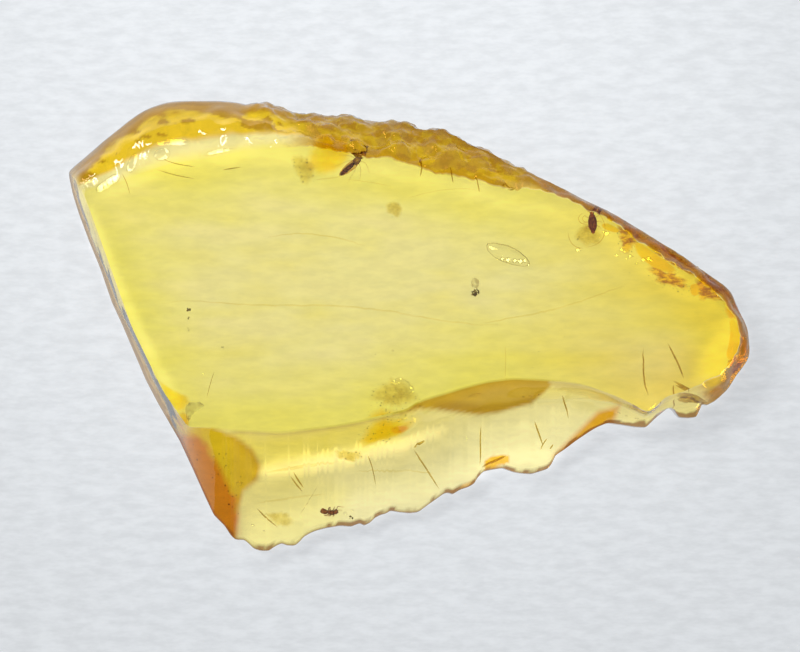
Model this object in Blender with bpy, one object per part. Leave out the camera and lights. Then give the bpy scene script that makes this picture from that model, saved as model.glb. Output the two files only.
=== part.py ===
"""A flat polished piece of clear yellow amber with three small insects sealed in it.

The slab lies on its polished back. +X runs along its length, +Y to the weathered rim and +Z up.
Its origin is the middle of its box, on the surface it rests on. The amber is one natural piece.
It is parted here in two halves along a slightly tilted plane through the insects, so that each
insect is a solid of its own in an open pocket.

The slab is a loft. Every station round the rim has a point on the widest outline and a point on
the edge of the top face, and a profile leads from the one to the other: rounded under the
weathered crust, straight on the ground side, hollow where the piece broke.
"""

import math
from dataclasses import dataclass

import bmesh
import bpy
from mathutils import Matrix, Vector, noise

# Shapes are drawn in millimetres, and each finished mesh is scaled to metres once.
METRES_PER_MM = 0.001

# The slab
THICKNESS = 4.5
STATION_SPACING = 0.7
PROFILE_STEPS = 7
WIDEST_SHARE = 0.4
ROUNDED_POWER = 2.0
HOLLOW_POWER = 2.1
SCARP_SHARE_OF_RUN = 0.3
LEAN_SHARE_OF_TUCK = 0.4

# The lumps of its natural surface
LUMPS_PER_MM = 0.9
LUMP_GAIN = 1.6
LUMP_SIDEWAYS = 0.6

# The plane that parts the amber, and the gap between the halves
PARTING_HEIGHT = 1.41
PARTING_SLOPE = 0.0613
PARTING_GAP = 0.3

# Room left round an insect's body
POCKET_CLEARANCE = 0.15
POCKET_SEGMENTS = 18

# How finely the insects are drawn
LOBE_SEGMENTS = 10
LIMB_TAPER = 0.5
WELD_DISTANCE = 0.0001

# Where the middle of each insect lies, and how far it is turned from +X
ANT_PLACE = (-4.70, -10.85)
ANT_TURN = 0.0
BEETLE_PLACE = (10.70, 6.02)
BEETLE_TURN = math.radians(94)
MIDGE_PLACE = (-3.45, 9.35)
MIDGE_TURN = math.radians(41)


@dataclass(frozen=True)
class Side:
    """One stretch of the rim, which runs clockwise to the start of the next.

    outer holds points of the widest outline, and inner points of the top face's edge. The rest
    is the profile where the stretch begins: the height of the outer wall, how far its foot is
    tucked under, whether the surface above it is rounded (1), straight (0) or hollow (-1), how
    much of its climb is one steep scarp at the top, and how high its lumps are.
    """

    outer: tuple
    inner: tuple
    wall: float
    tuck: float
    form: float
    scarp: float
    lumps: float


@dataclass(frozen=True)
class Station:
    """One place on the rim, with its two points and its profile."""

    outer: Vector
    inner: Vector
    wall: float
    tuck: float
    form: float
    scarp: float
    lumps: float


SIDES = (
    # Weathered rim, from the upper left corner over the broad smooth shoulder
    Side(
        outer=((-20.0, 9.1), (-19.3, 9.7), (-18.5, 10.4), (-17.5, 11.25), (-16.4, 12.15),
               (-15.3, 12.8), (-14.2, 13.15), (-12.6, 13.25), (-11.2, 13.25), (-10.2, 13.15)),
        inner=((-19.4, 8.2), (-17.6, 8.7), (-16.0, 9.25), (-13.8, 9.65), (-11.5, 9.85)),
        wall=1.0, tuck=0.25, form=0.75, scarp=0.0, lumps=0.08),
    # Weathered rim, first knobs
    Side(
        outer=((-9.7, 13.0), (-9.35, 13.2), (-8.25, 13.25), (-7.75, 12.95), (-7.1, 12.65),
               (-6.2, 12.45), (-4.8, 12.5), (-4.5, 12.3), (-4.0, 12.25), (-3.6, 12.5),
               (-3.05, 12.4)),
        inner=((-9.6, 10.35), (-8.7, 10.6), (-6.3, 10.65), (-4.4, 10.45)),
        wall=1.1, tuck=0.25, form=0.8, scarp=0.0, lumps=0.16),
    # Weathered rim, the rough middle
    Side(
        outer=((-2.6, 12.05), (-1.5, 12.05), (-0.6, 12.0), (0.35, 11.75), (0.65, 11.4),
               (1.4, 11.65), (2.1, 11.5), (2.9, 11.1), (3.55, 10.6), (4.4, 10.45), (5.1, 9.95),
               (5.9, 9.5)),
        inner=((-2.4, 10.1), (-1.3, 10.05), (0.4, 9.5), (2.35, 8.8), (3.9, 8.4), (5.5, 7.8)),
        wall=1.2, tuck=0.25, form=0.5, scarp=0.0, lumps=0.30),
    # Weathered rim, the thin right stretch
    Side(
        outer=((7.0, 8.95), (8.2, 8.45), (9.65, 7.65), (11.2, 6.95), (12.4, 6.3), (13.8, 5.4),
               (15.7, 4.3), (17.2, 3.25), (18.3, 2.45)),
        inner=((6.8, 7.95), (8.2, 7.6), (9.6, 7.1), (11.0, 6.35), (12.3, 5.8), (13.1, 4.95),
               (15.5, 3.5), (17.2, 2.4)),
        wall=1.6, tuck=0.2, form=0.5, scarp=0.0, lumps=0.10),
    # Blunt right end
    Side(
        outer=((18.75, 2.1), (19.1, 1.3), (19.5, 0.45), (19.85, 0.0), (20.0, -0.9),
               (20.0, -1.7), (19.7, -2.35), (19.2, -3.0), (18.8, -3.6), (18.4, -4.05),
               (17.8, -4.5)),
        inner=((18.1, 1.6), (18.9, 0.4), (19.25, -0.8), (19.0, -1.9), (18.3, -2.7),
               (17.4, -3.2)),
        wall=1.8, tuck=0.2, form=0.3, scarp=0.0, lumps=0.10),
    # Small broken blocks at the lower right
    Side(
        outer=((17.3, -4.65), (17.0, -5.05), (16.8, -5.4), (15.8, -5.4), (15.45, -4.95),
               (15.2, -4.8), (14.8, -5.15), (14.45, -5.45)),
        inner=((16.8, -3.5), (16.0, -3.9), (14.9, -4.2)),
        wall=1.8, tuck=0.1, form=0.0, scarp=0.0, lumps=0.06),
    # Broken edge, the steep wall right of the scarp
    Side(
        outer=((13.9, -6.0), (12.5, -5.85), (11.65, -5.75), (11.05, -5.95), (10.65, -6.2),
               (9.8, -6.75), (9.1, -7.3)),
        inner=((13.9, -5.2), (12.5, -4.4), (11.3, -3.9), (10.2, -3.5), (9.1, -3.3)),
        wall=2.0, tuck=0.1, form=-0.2, scarp=0.2, lumps=0.05),
    # Broken edge below the dark scarp
    Side(
        outer=((8.6, -7.65), (8.35, -8.2), (8.1, -8.45), (7.2, -8.75), (6.1, -8.6),
               (5.45, -8.4), (4.35, -8.6), (4.0, -8.95), (3.45, -9.5), (2.5, -9.95),
               (2.05, -9.9), (1.2, -10.45)),
        inner=((8.6, -3.25), (7.1, -3.15), (5.9, -3.1), (4.35, -3.3), (3.2, -3.6),
               (1.7, -4.05)),
        wall=1.4, tuck=0.1, form=-0.7, scarp=0.5, lumps=0.05),
    # Broken edge, thin and shallow, over the ant
    Side(
        outer=((0.5, -10.95), (-0.6, -10.95), (-1.1, -10.85), (-1.65, -11.1), (-2.3, -11.55),
               (-2.6, -11.75), (-3.3, -11.7), (-4.1, -11.75), (-5.2, -11.95), (-5.8, -12.2)),
        inner=((0.5, -4.4), (-0.2, -4.95), (-1.65, -5.3), (-3.2, -5.65), (-4.65, -5.9)),
        wall=1.25, tuck=0.1, form=-0.6, scarp=0.1, lumps=0.05),
    # Lower left corner
    Side(
        outer=((-6.4, -12.7), (-6.95, -12.95), (-7.65, -12.85), (-8.0, -13.05),
               (-8.3, -13.25), (-9.1, -13.1), (-9.5, -12.75), (-10.2, -12.6)),
        inner=((-6.4, -6.1), (-7.6, -6.25), (-9.3, -6.15)),
        wall=1.2, tuck=0.1, form=-0.5, scarp=0.0, lumps=0.05),
    # Ground side, below the top face's corner
    Side(
        outer=((-10.5, -12.3), (-11.8, -10.7), (-12.4, -9.2)),
        inner=((-10.6, -6.1), (-11.6, -6.0)),
        wall=1.4, tuck=0.05, form=-0.3, scarp=0.0, lumps=0.02),
    # Ground side, up to the upper left corner
    Side(
        outer=((-13.5, -6.8), (-14.95, -4.1), (-16.8, -0.3), (-18.35, 4.0), (-19.5, 7.2)),
        inner=((-13.05, -6.0), (-14.5, -3.9), (-16.3, -0.2), (-17.8, 4.0), (-18.95, 7.2)),
        wall=0.6, tuck=0.05, form=0.0, scarp=0.0, lumps=0.0),
)


def mix(start, end, share):
    """Blend two numbers or vectors."""
    return start + (end - start) * share


def point_along(line, share):
    """The point at a share of a polyline's length."""
    lengths = [(b - a).length for a, b in zip(line, line[1:])]
    left = share * sum(lengths)
    for start, end, length in zip(line, line[1:], lengths):
        if left <= length:
            return start.lerp(end, left / length)
        left -= length
    return line[-1].copy()


def rim_stations():
    """Stations round the rim: every point of the outline, and more between those far apart."""
    stations = []
    for side, following in zip(SIDES, SIDES[1:] + SIDES[:1]):
        outer = [Vector(p) for p in side.outer + following.outer[:1]]
        inner = [Vector(p) for p in side.inner + following.inner[:1]]
        whole = sum((b - a).length for a, b in zip(outer, outer[1:]))
        walked = 0.0
        for start, end in zip(outer, outer[1:]):
            length = (end - start).length
            pieces = max(1, math.ceil(length / STATION_SPACING))
            for piece in range(pieces):
                part = piece / pieces
                share = (walked + part * length) / whole
                stations.append(Station(
                    outer=start.lerp(end, part),
                    inner=point_along(inner, share),
                    wall=mix(side.wall, following.wall, share),
                    tuck=mix(side.tuck, following.tuck, share),
                    form=mix(side.form, following.form, share),
                    scarp=mix(side.scarp, following.scarp, share),
                    lumps=mix(side.lumps, following.lumps, share)))
            walked += length
    return stations


def climb(station, run):
    """How far up its profile a station is, at a share of the way in to the top face."""
    if station.form >= 0.0:
        bent = 1.0 - (1.0 - run) ** ROUNDED_POWER
    else:
        bent = run ** HOLLOW_POWER
    slope = mix(run, bent, abs(station.form))
    scarp = max(0.0, (run - 1.0 + SCARP_SHARE_OF_RUN) / SCARP_SHARE_OF_RUN)
    scarp = scarp * scarp * (3.0 - 2.0 * scarp)
    return mix(slope, scarp, station.scarp)


def profile(station):
    """Points from the slab's underside round the wall and in to the edge of the top face."""
    inwards = (station.inner - station.outer).normalized()
    foot = station.outer + inwards * station.tuck
    points = [
        Vector((foot.x, foot.y, 0.0)),
        Vector((station.outer.x, station.outer.y, station.wall * WIDEST_SHARE)),
    ]
    for step in range(PROFILE_STEPS + 1):
        run = step / PROFILE_STEPS
        lean = station.tuck * LEAN_SHARE_OF_TUCK * (1.0 - run)
        flat = station.outer.lerp(station.inner, run) + inwards * lean
        height = mix(station.wall, THICKNESS, climb(station, run))
        swell = LUMP_GAIN * station.lumps * math.sin(math.pi * run)
        bump = swell * noise.noise(Vector((flat.x, flat.y, height)) * LUMPS_PER_MM)
        flat = flat - inwards * bump * LUMP_SIDEWAYS
        points.append(Vector((flat.x, flat.y, min(THICKNESS, height + bump))))
    return points


def slab_mesh():
    """The whole slab as one closed bmesh, in millimetres."""
    bm = bmesh.new()
    profiles = [[bm.verts.new(p) for p in profile(s)] for s in rim_stations()]
    for here, after in zip(profiles, profiles[1:] + profiles[:1]):
        for low in range(len(here) - 1):
            bm.faces.new((here[low], here[low + 1], after[low + 1], after[low]))
    bm.faces.new([p[0] for p in profiles])
    bm.faces.new([p[-1] for p in reversed(profiles)])
    bmesh.ops.recalc_face_normals(bm, faces=bm.faces)
    return bm


def parting_height(place):
    """Height of the parting plane over a place on the floor."""
    return PARTING_HEIGHT + PARTING_SLOPE * place[1]


def slab_half(slab, side):
    """The slab's upper (side 1) or lower (side -1) half, cut along the parting plane."""
    half = slab.copy()
    normal = Vector((0.0, -PARTING_SLOPE, 1.0)).normalized()
    at = Vector((0.0, 0.0, PARTING_HEIGHT)) + normal * side * PARTING_GAP / 2
    bmesh.ops.bisect_plane(
        half, geom=half.verts[:] + half.edges[:] + half.faces[:], plane_co=at,
        plane_no=normal, clear_inner=side > 0, clear_outer=side < 0)
    rim = [edge for edge in half.edges if edge.is_boundary]
    bmesh.ops.edgeloop_fill(half, edges=rim)
    bmesh.ops.recalc_face_normals(half, faces=half.faces)
    return half


def add_object(name, bm, collection, material=None):
    """Put a bmesh in a new object of a collection, and free it."""
    mesh = bpy.data.meshes.new(name)
    bm.to_mesh(mesh)
    bm.free()
    obj = bpy.data.objects.new(name, mesh)
    collection.objects.link(obj)
    if material:
        mesh.materials.append(material)
    return obj


def lobe(centre, radii, turn, collection, segments=LOBE_SEGMENTS):
    """A rounded body part: a sphere with three radii, turned about Z."""
    bm = bmesh.new()
    bmesh.ops.create_uvsphere(bm, u_segments=segments, v_segments=segments * 2 // 3, radius=1.0)
    place = Matrix.Translation(centre) @ Matrix.Rotation(turn, 4, "Z") @ Matrix.Diagonal(
        (*radii, 1.0))
    bmesh.ops.transform(bm, matrix=place, verts=bm.verts)
    return add_object("lobe", bm, collection)


def limb(points, radius, collection):
    """A leg or an antenna: a thin round rod along a few points, tapered to its end."""
    curve = bpy.data.curves.new("limb", "CURVE")
    curve.dimensions = "3D"
    curve.bevel_depth = radius
    curve.bevel_resolution = 0
    curve.use_fill_caps = True
    spline = curve.splines.new("POLY")
    spline.points.add(len(points) - 1)
    for index, (spot, point) in enumerate(zip(spline.points, points)):
        spot.co = (*point, 1.0)
        spot.radius = 1.0 - LIMB_TAPER * index / (len(points) - 1)
    rod = bpy.data.objects.new("limb", curve)
    collection.objects.link(rod)
    bpy.context.view_layer.update()
    solid = bpy.data.meshes.new_from_object(rod.evaluated_get(
        bpy.context.evaluated_depsgraph_get()))
    bm = bmesh.new()
    bm.from_mesh(solid)
    bmesh.ops.remove_doubles(bm, verts=bm.verts, dist=WELD_DISTANCE)
    bmesh.ops.recalc_face_normals(bm, faces=bm.faces)
    bpy.data.objects.remove(rod)
    bpy.data.curves.remove(curve)
    bpy.data.meshes.remove(solid)
    return add_object("limb", bm, collection)


def boolean(target, other, operation):
    """Join another solid to the target, or cut it away, and take the other out."""
    step = target.modifiers.new(operation.title(), "BOOLEAN")
    step.operation = operation
    step.solver = "EXACT"
    step.object = other
    bpy.context.view_layer.update()
    result = bpy.data.meshes.new_from_object(target.evaluated_get(
        bpy.context.evaluated_depsgraph_get()))
    target.modifiers.clear()
    used = (target.data, other.data)
    target.data = result
    bpy.data.objects.remove(other)
    for mesh in used:
        bpy.data.meshes.remove(mesh)


def fuse(name, lobes, limbs, collection, material):
    """One insect from its body parts and limbs, joined in one solid."""
    body = lobe(*lobes[0], collection)
    for centre, radii, turn in lobes[1:]:
        boolean(body, lobe(centre, radii, turn, collection), "UNION")
    for points, radius in limbs:
        boolean(body, limb(points, radius, collection), "UNION")
    body.name = name
    body.data.name = name
    body.data.materials.clear()
    body.data.materials.append(material)
    return body


def settle(obj, place, turn):
    """Lay an insect drawn flat at the origin on the parting plane at its place."""
    tilt = Matrix.Rotation(math.atan(PARTING_SLOPE), 4, "X")
    spot = Matrix.Translation((*place, parting_height(place)))
    obj.data.transform(spot @ tilt @ Matrix.Rotation(turn, 4, "Z"))


def make_ant(collection, material):
    """A small ant lying on its side, its head to +X and its legs drawn up to +Y."""
    lobes = (
        ((-0.34, 0.06, 0.0), (0.24, 0.16, 0.16), math.radians(-24)),
        ((-0.10, -0.05, 0.0), (0.10, 0.06, 0.06), 0.0),
        ((0.08, -0.06, 0.0), (0.20, 0.12, 0.12), math.radians(4)),
        ((0.37, -0.02, 0.0), (0.15, 0.14, 0.12), math.radians(20)),
    )
    legs = []
    for root, knee, foot in (
            ((-0.02, 0.02), (-0.04, 0.22), (0.02, 0.29)),
            ((0.08, 0.02), (0.03, 0.24), (0.07, 0.31)),
            ((0.18, 0.02), (0.27, 0.20), (0.31, 0.30)),
            ((0.0, -0.12), (-0.12, -0.22), (-0.32, -0.24)),
            ((0.10, -0.12), (0.06, -0.23), (-0.10, -0.29)),
            ((0.20, -0.10), (0.30, -0.22), (0.20, -0.27))):
        depth = 0.03 if root[1] > 0 else -0.03
        legs.append((((*root, 0.0), (*knee, depth), (*foot, depth)), 0.032))
    feelers = (
        (((0.42, 0.06, 0.03), (0.48, 0.30, 0.05), (0.62, 0.34, 0.05), (0.86, 0.24, 0.04)), 0.026),
        (((0.46, 0.04, -0.03), (0.60, 0.14, -0.05), (0.74, 0.08, -0.05)), 0.024),
    )
    settle(fuse("ant", lobes, tuple(legs) + feelers, collection, material), ANT_PLACE, ANT_TURN)


def make_beetle(collection, material):
    """A small narrow beetle seen from above, its head to +X in its own frame."""
    lobes = (
        ((-0.06, 0.0, 0.0), (0.42, 0.29, 0.19), 0.0),
        ((-0.42, 0.0, -0.02), (0.24, 0.15, 0.12), 0.0),
        ((0.34, 0.0, 0.0), (0.19, 0.20, 0.15), 0.0),
        ((0.54, 0.0, -0.01), (0.11, 0.12, 0.10), 0.0),
    )
    limbs = []
    for side in (-1, 1):
        for root, knee, foot in (
                ((0.28, 0.14), (0.36, 0.36), (0.48, 0.42)),
                ((0.05, 0.24), (0.06, 0.46), (-0.04, 0.56)),
                ((-0.18, 0.20), (-0.28, 0.42), (-0.42, 0.48))):
            limbs.append((tuple((x, side * y, -0.05) for x, y in (root, knee, foot)), 0.032))
        feeler = ((0.58, 0.06), (0.66, 0.16), (0.64, 0.28))
        limbs.append((tuple((x, side * y, 0.0) for x, y in feeler), 0.026))
    settle(fuse("beetle", lobes, limbs, collection, material), BEETLE_PLACE, BEETLE_TURN)


def make_midge(collection, material):
    """A slender midge, its head to +X, its wings folded over its abdomen."""
    lobes = (
        ((0.42, 0.0, 0.02), (0.27, 0.21, 0.20), 0.0),
        ((-0.28, 0.0, -0.03), (0.62, 0.14, 0.12), 0.0),
        ((0.76, 0.0, -0.02), (0.13, 0.13, 0.12), 0.0),
        ((-0.24, 0.06, 0.08), (0.68, 0.17, 0.045), math.radians(3)),
        ((-0.20, -0.08, 0.115), (0.66, 0.17, 0.045), math.radians(-5)),
    )
    limbs = []
    for side in (-1, 1):
        for root, knee, ankle, foot in (
                ((0.54, 0.14), (0.74, 0.42), (0.62, 0.78), (0.50, 1.04)),
                ((0.42, 0.16), (0.30, 0.52), (0.02, 0.78), (-0.22, 0.98)),
                ((0.30, 0.14), (-0.06, 0.38), (-0.52, 0.50), (-0.92, 0.66))):
            limbs.append((tuple(
                (x, side * y, -0.03) for x, y in (root, knee, ankle, foot)), 0.028))
        feeler = ((0.84, 0.05), (1.02, 0.14), (1.18, 0.26))
        limbs.append((tuple((x, side * y, 0.0) for x, y in feeler), 0.024))
    settle(fuse("midge", lobes, limbs, collection, material), MIDGE_PLACE, MIDGE_TURN)


def cut_pocket(halves, place, turn, middle, radii, collection):
    """Hollow both halves round an insect's body, open at the parting plane."""
    for half in halves:
        room = tuple(radius + POCKET_CLEARANCE for radius in radii)
        pocket = lobe((middle, 0.0, 0.0), room, 0.0, collection, POCKET_SEGMENTS)
        settle(pocket, place, turn)
        boolean(half, pocket, "DIFFERENCE")


def make_material(name, colour, roughness, transmission):
    """A plain material with the part's colour and gloss."""
    material = bpy.data.materials.new(name)
    material.use_nodes = True
    shader = material.node_tree.nodes["Principled BSDF"]
    shader.inputs["Base Color"].default_value = (*colour, 1.0)
    shader.inputs["Roughness"].default_value = roughness
    shader.inputs["Metallic"].default_value = 0.0
    shader.inputs["IOR"].default_value = 1.54
    shader.inputs["Transmission Weight"].default_value = transmission
    material.diffuse_color = (*colour, 1.0)
    return material


def clear_scene():
    """Take out what the file opened with."""
    for obj in list(bpy.data.objects):
        bpy.data.objects.remove(obj, do_unlink=True)


def main():
    """Build the two halves of the amber and the three insects."""
    clear_scene()
    parts = bpy.data.collections.new("insect_in_amber")
    bpy.context.scene.collection.children.link(parts)

    amber = make_material("amber", (1.0, 0.76, 0.18), 0.04, 1.0)
    chitin = make_material("dark_chitin", (0.075, 0.032, 0.012), 0.45, 0.0)
    shell = make_material("red_brown_shell", (0.19, 0.045, 0.016), 0.4, 0.0)

    make_ant(parts, chitin)
    make_beetle(parts, shell)
    make_midge(parts, chitin)

    slab = slab_mesh()
    halves = (
        add_object("amber_lower", slab_half(slab, -1), parts, amber),
        add_object("amber_upper", slab_half(slab, 1), parts, amber),
    )
    slab.free()
    cut_pocket(halves, ANT_PLACE, ANT_TURN, -0.02, (0.56, 0.24, 0.16), parts)
    cut_pocket(halves, BEETLE_PLACE, BEETLE_TURN, 0.0, (0.66, 0.32, 0.19), parts)
    cut_pocket(halves, MIDGE_PLACE, MIDGE_TURN, 0.0, (0.92, 0.24, 0.22), parts)

    for obj in parts.objects:
        obj.data.transform(Matrix.Scale(METRES_PER_MM, 4))
        obj.data.update()


main()
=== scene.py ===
"""The looks of a flat polished piece of clear yellow amber with small insects sealed in it.

The amber is drawn once more as one fine clear lump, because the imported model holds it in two
halves. The cracks, stains, flakes, specks and insects in it are pieces of their own. Shapes are
drawn in millimetres and scaled to metres when a piece is done.
"""

import logging
import math
from collections.abc import Callable
from dataclasses import dataclass
from enum import Enum

import bmesh
import bpy
import numpy as np
from mathutils import Matrix, Vector, noise


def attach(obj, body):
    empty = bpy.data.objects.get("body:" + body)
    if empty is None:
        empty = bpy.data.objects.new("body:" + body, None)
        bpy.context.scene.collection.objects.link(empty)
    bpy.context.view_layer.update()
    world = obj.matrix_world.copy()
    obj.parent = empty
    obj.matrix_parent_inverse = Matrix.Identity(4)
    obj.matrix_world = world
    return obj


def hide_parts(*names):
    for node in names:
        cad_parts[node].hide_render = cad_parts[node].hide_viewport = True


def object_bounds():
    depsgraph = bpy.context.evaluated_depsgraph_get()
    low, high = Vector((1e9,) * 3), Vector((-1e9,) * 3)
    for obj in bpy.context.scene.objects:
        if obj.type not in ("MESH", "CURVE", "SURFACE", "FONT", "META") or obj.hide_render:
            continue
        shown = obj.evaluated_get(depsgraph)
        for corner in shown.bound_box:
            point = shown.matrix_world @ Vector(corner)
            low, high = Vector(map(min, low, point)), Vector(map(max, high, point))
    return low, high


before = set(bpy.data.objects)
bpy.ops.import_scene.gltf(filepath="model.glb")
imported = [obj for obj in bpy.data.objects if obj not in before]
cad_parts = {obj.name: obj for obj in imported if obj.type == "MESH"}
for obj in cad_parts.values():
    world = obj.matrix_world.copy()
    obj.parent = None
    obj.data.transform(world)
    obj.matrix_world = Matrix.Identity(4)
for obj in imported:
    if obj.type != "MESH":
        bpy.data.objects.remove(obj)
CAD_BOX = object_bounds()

LOG = logging.getLogger("amber")
METRES_PER_MM = 0.001

# The photograph's frame, and how many of its pixels make a millimetre of the slab
PHOTO_WIDTH = 800
PHOTO_HEIGHT = 652
PIXELS_PER_MM = 17.0
ORIGIN_PIXEL = (409.0, 326.0)

# The slab's thickness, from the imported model's box
THICKNESS = (CAD_BOX[1].z - CAD_BOX[0].z) / METRES_PER_MM
BOX_MM = (np.array(CAD_BOX[0]) / METRES_PER_MM, np.array(CAD_BOX[1]) / METRES_PER_MM)

AMBER_IOR = 1.54

# The plane in which the insects lie: its height over the origin, and its rise along Y
PARTING_HEIGHT = 1.41
PARTING_SLOPE = 0.0613


class Nature(Enum):
    """How a stretch of the rim came about."""

    WEATHERED = "weathered"
    BROKEN = "broken"
    GROUND = "ground"


@dataclass(frozen=True)
class Stretch:
    """One stretch of the rim, clockwise.

    outer is the widest outline, in the photograph's frame, and inner the edge of the top face
    in millimetres. wall is the height of the outer wall, taller than the solids' one where the
    rim is weathered. tuck is how far its foot is drawn in, form rounded (1) to hollow (-1),
    scarp the share of the climb that is one steep step at the top, and lumps the height of its
    lumps.
    """

    nature: Nature
    outer: tuple
    inner: tuple
    wall: float
    tuck: float
    form: float
    scarp: float
    lumps: float


RIM = (
    Stretch(
        Nature.WEATHERED,
        outer=((69, 171.3), (75, 166), (80, 162), (94, 149.5), (111, 135), (130, 119.5), (149, 108),
               (168, 102), (188, 101), (219, 100.8), (236, 102)),
        inner=((-19.2, 7.75), (-18.2, 7.8), (-17.0, 8.1), (-16.0, 8.7), (-13.9, 9.35),
               (-12.0, 9.6)),
        wall=1.6, tuck=0.25, form=0.75, scarp=0.0, lumps=0.08),
    Stretch(
        Nature.WEATHERED,
        outer=((244, 104.5), (250, 102), (259, 101), (269, 101), (277, 105.5), (288, 110.5),
               (304, 114), (316, 114), (327, 113), (332, 116), (341, 117), (348, 113),
               (357, 115)),
        inner=((-9.6, 10.1), (-8.4, 10.2), (-6.3, 10.35), (-4.4, 10.15)),
        wall=1.6, tuck=0.25, form=0.7, scarp=0.0, lumps=0.16),
    Stretch(
        Nature.WEATHERED,
        outer=((362, 119.5), (368, 121), (383, 121), (390, 123), (399, 121.5), (408, 122.5),
               (415, 126), (420, 132), (425, 130), (433, 128), (445, 130.5), (458, 137), (465, 141),
               (470, 146), (477, 145), (484, 148.5), (496, 157), (509, 164)),
        inner=((-2.6, 9.7), (-1.3, 9.65), (-0.2, 9.35), (1.4, 8.8), (2.6, 8.6), (3.8, 8.35),
               (5.5, 7.85)),
        wall=1.7, tuck=0.25, form=0.4, scarp=0.0, lumps=0.30),
    Stretch(
        Nature.WEATHERED,
        outer=((528, 174), (548, 182), (573, 196), (599, 208), (620, 219), (644, 234), (676, 253),
               (701, 271), (720, 284)),
        inner=((6.8, 7.95), (8.2, 7.6), (9.6, 7.1), (11.0, 6.35), (12.3, 5.8), (13.1, 4.95),
               (15.5, 3.5), (17.2, 2.4)),
        wall=3.5, tuck=0.2, form=0.4, scarp=0.0, lumps=0.10),
    Stretch(
        Nature.WEATHERED,
        outer=((728, 290), (734, 304), (741, 318), (746, 326), (748, 342), (749, 355), (744, 366),
               (735, 376.5), (729, 387), (723, 394), (712, 403)),
        inner=((18.1, 1.6), (18.9, 0.4), (19.25, -0.8), (19.0, -1.9), (18.3, -2.7),
               (17.4, -3.2)),
        wall=3.5, tuck=0.2, form=0.4, scarp=0.0, lumps=0.10),
    Stretch(
        Nature.BROKEN,
        outer=((706, 406), (701, 404.5), (698, 412), (695, 418), (688, 418.5), (678, 418),
               (672, 410), (668, 408), (661, 413.5), (655, 418.5)),
        inner=((16.8, -3.5), (16.0, -3.9), (14.9, -4.2)),
        wall=2.4, tuck=0.1, form=0.0, scarp=0.0, lumps=0.06),
    Stretch(
        Nature.BROKEN,
        outer=((645, 428), (635, 427.5), (622, 425.5), (607, 423.5), (597, 427.5), (590, 431.5),
               (576, 441), (564, 450)),
        inner=((13.9, -5.2), (12.5, -4.4), (11.3, -3.9), (10.2, -3.5), (9.1, -3.3)),
        wall=2.0, tuck=0.1, form=-0.2, scarp=0.2, lumps=0.05),
    Stretch(
        Nature.BROKEN,
        outer=((555, 456), (551, 465), (547, 469.5), (531, 474.5), (522, 474), (513, 472.5),
               (502, 468.5), (492, 470), (483, 472), (477, 478.5), (474, 484), (468, 487.5),
               (460, 490), (452, 495), (448, 493), (443.5, 494), (436, 499.5), (429.5, 504)),
        inner=((8.6, -3.25), (7.1, -3.15), (5.9, -3.1), (4.35, -3.3), (3.2, -3.6),
               (1.7, -4.05)),
        wall=1.4, tuck=0.1, form=-0.7, scarp=0.5, lumps=0.05),
    Stretch(
        Nature.BROKEN,
        outer=((418, 512.5), (409, 513.5), (399, 512.5), (390, 511), (386, 514), (381, 515),
               (375, 518), (370, 523), (364, 526), (360, 523.5), (357, 524.5), (351, 527),
               (340, 526), (325.5, 528.5), (316, 531), (311, 533)),
        inner=((0.5, -4.4), (-0.2, -4.95), (-1.65, -5.3), (-3.2, -5.65), (-4.65, -5.9)),
        wall=1.25, tuck=0.1, form=-0.6, scarp=0.1, lumps=0.05),
    Stretch(
        Nature.BROKEN,
        outer=((304, 537), (299.6, 542), (295, 546), (291, 546), (286, 545.5), (282, 543.5),
               (279, 544.5), (273, 548), (269, 551), (261, 551), (254, 549), (248, 543),
               (244, 540), (235.5, 540)),
        inner=((-6.4, -6.1), (-7.6, -6.25), (-9.3, -6.15)),
        wall=1.2, tuck=0.1, form=-0.5, scarp=0.0, lumps=0.05),
    Stretch(
        Nature.GROUND,
        outer=((231, 535.5), (225, 526), (214, 515), (205.5, 497), (193, 469)),
        inner=((-10.6, -6.1), (-11.6, -6.0)),
        wall=1.4, tuck=0.05, form=-0.3, scarp=0.0, lumps=0.02),
    Stretch(
        Nature.GROUND,
        outer=((180, 441), (158, 403), (146, 380), (134, 352), (122, 324), (112, 302.5),
               (100.5, 269), (89, 241), (79, 214), (73, 195), (69.3, 178)),
        inner=((-13.05, -6.0), (-14.5, -3.9), (-16.3, -0.2), (-17.8, 4.0), (-18.95, 7.2)),
        wall=0.6, tuck=0.05, form=0.0, scarp=0.0, lumps=0.0),
)


def smooth_step(value: np.ndarray) -> np.ndarray:
    """Ease values from 0 to 1, clipped at both ends."""
    value = np.clip(value, 0.0, 1.0)
    return value * value * (3.0 - 2.0 * value)


def rise(value: np.ndarray, start: float, full: float) -> np.ndarray:
    """Ease from 0, where a value is at start, to 1, where it is at full."""
    return smooth_step((value - start) / (full - start))


def grain(points: np.ndarray, per_mm: float, octaves: int = 1) -> np.ndarray:
    """Smooth noise between -1 and 1 at many points.

    A number added to the points only picks another pattern of the same kind.

    Args:
        points: An array of places in millimetres, with x, y and z last.
        per_mm: How many lumps there are to a millimetre.
        octaves: How many finer layers are laid on the first.

    Returns:
        One value for each point.
    """
    flat = (points.reshape(-1, 3) * per_mm).tolist()
    if octaves == 1:
        values = [noise.noise(p) for p in flat]
    else:
        values = [noise.fractal(p, 1.0, 2.0, octaves) for p in flat]
    return np.array(values).reshape(points.shape[:-1])


def cells(points: np.ndarray) -> np.ndarray:
    """How far each point is from the middle of the nearest of many uneven cells."""
    far = [noise.voronoi(p)[0][0] for p in points.reshape(-1, 3).tolist()]
    return np.array(far).reshape(points.shape[:-1])


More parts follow.
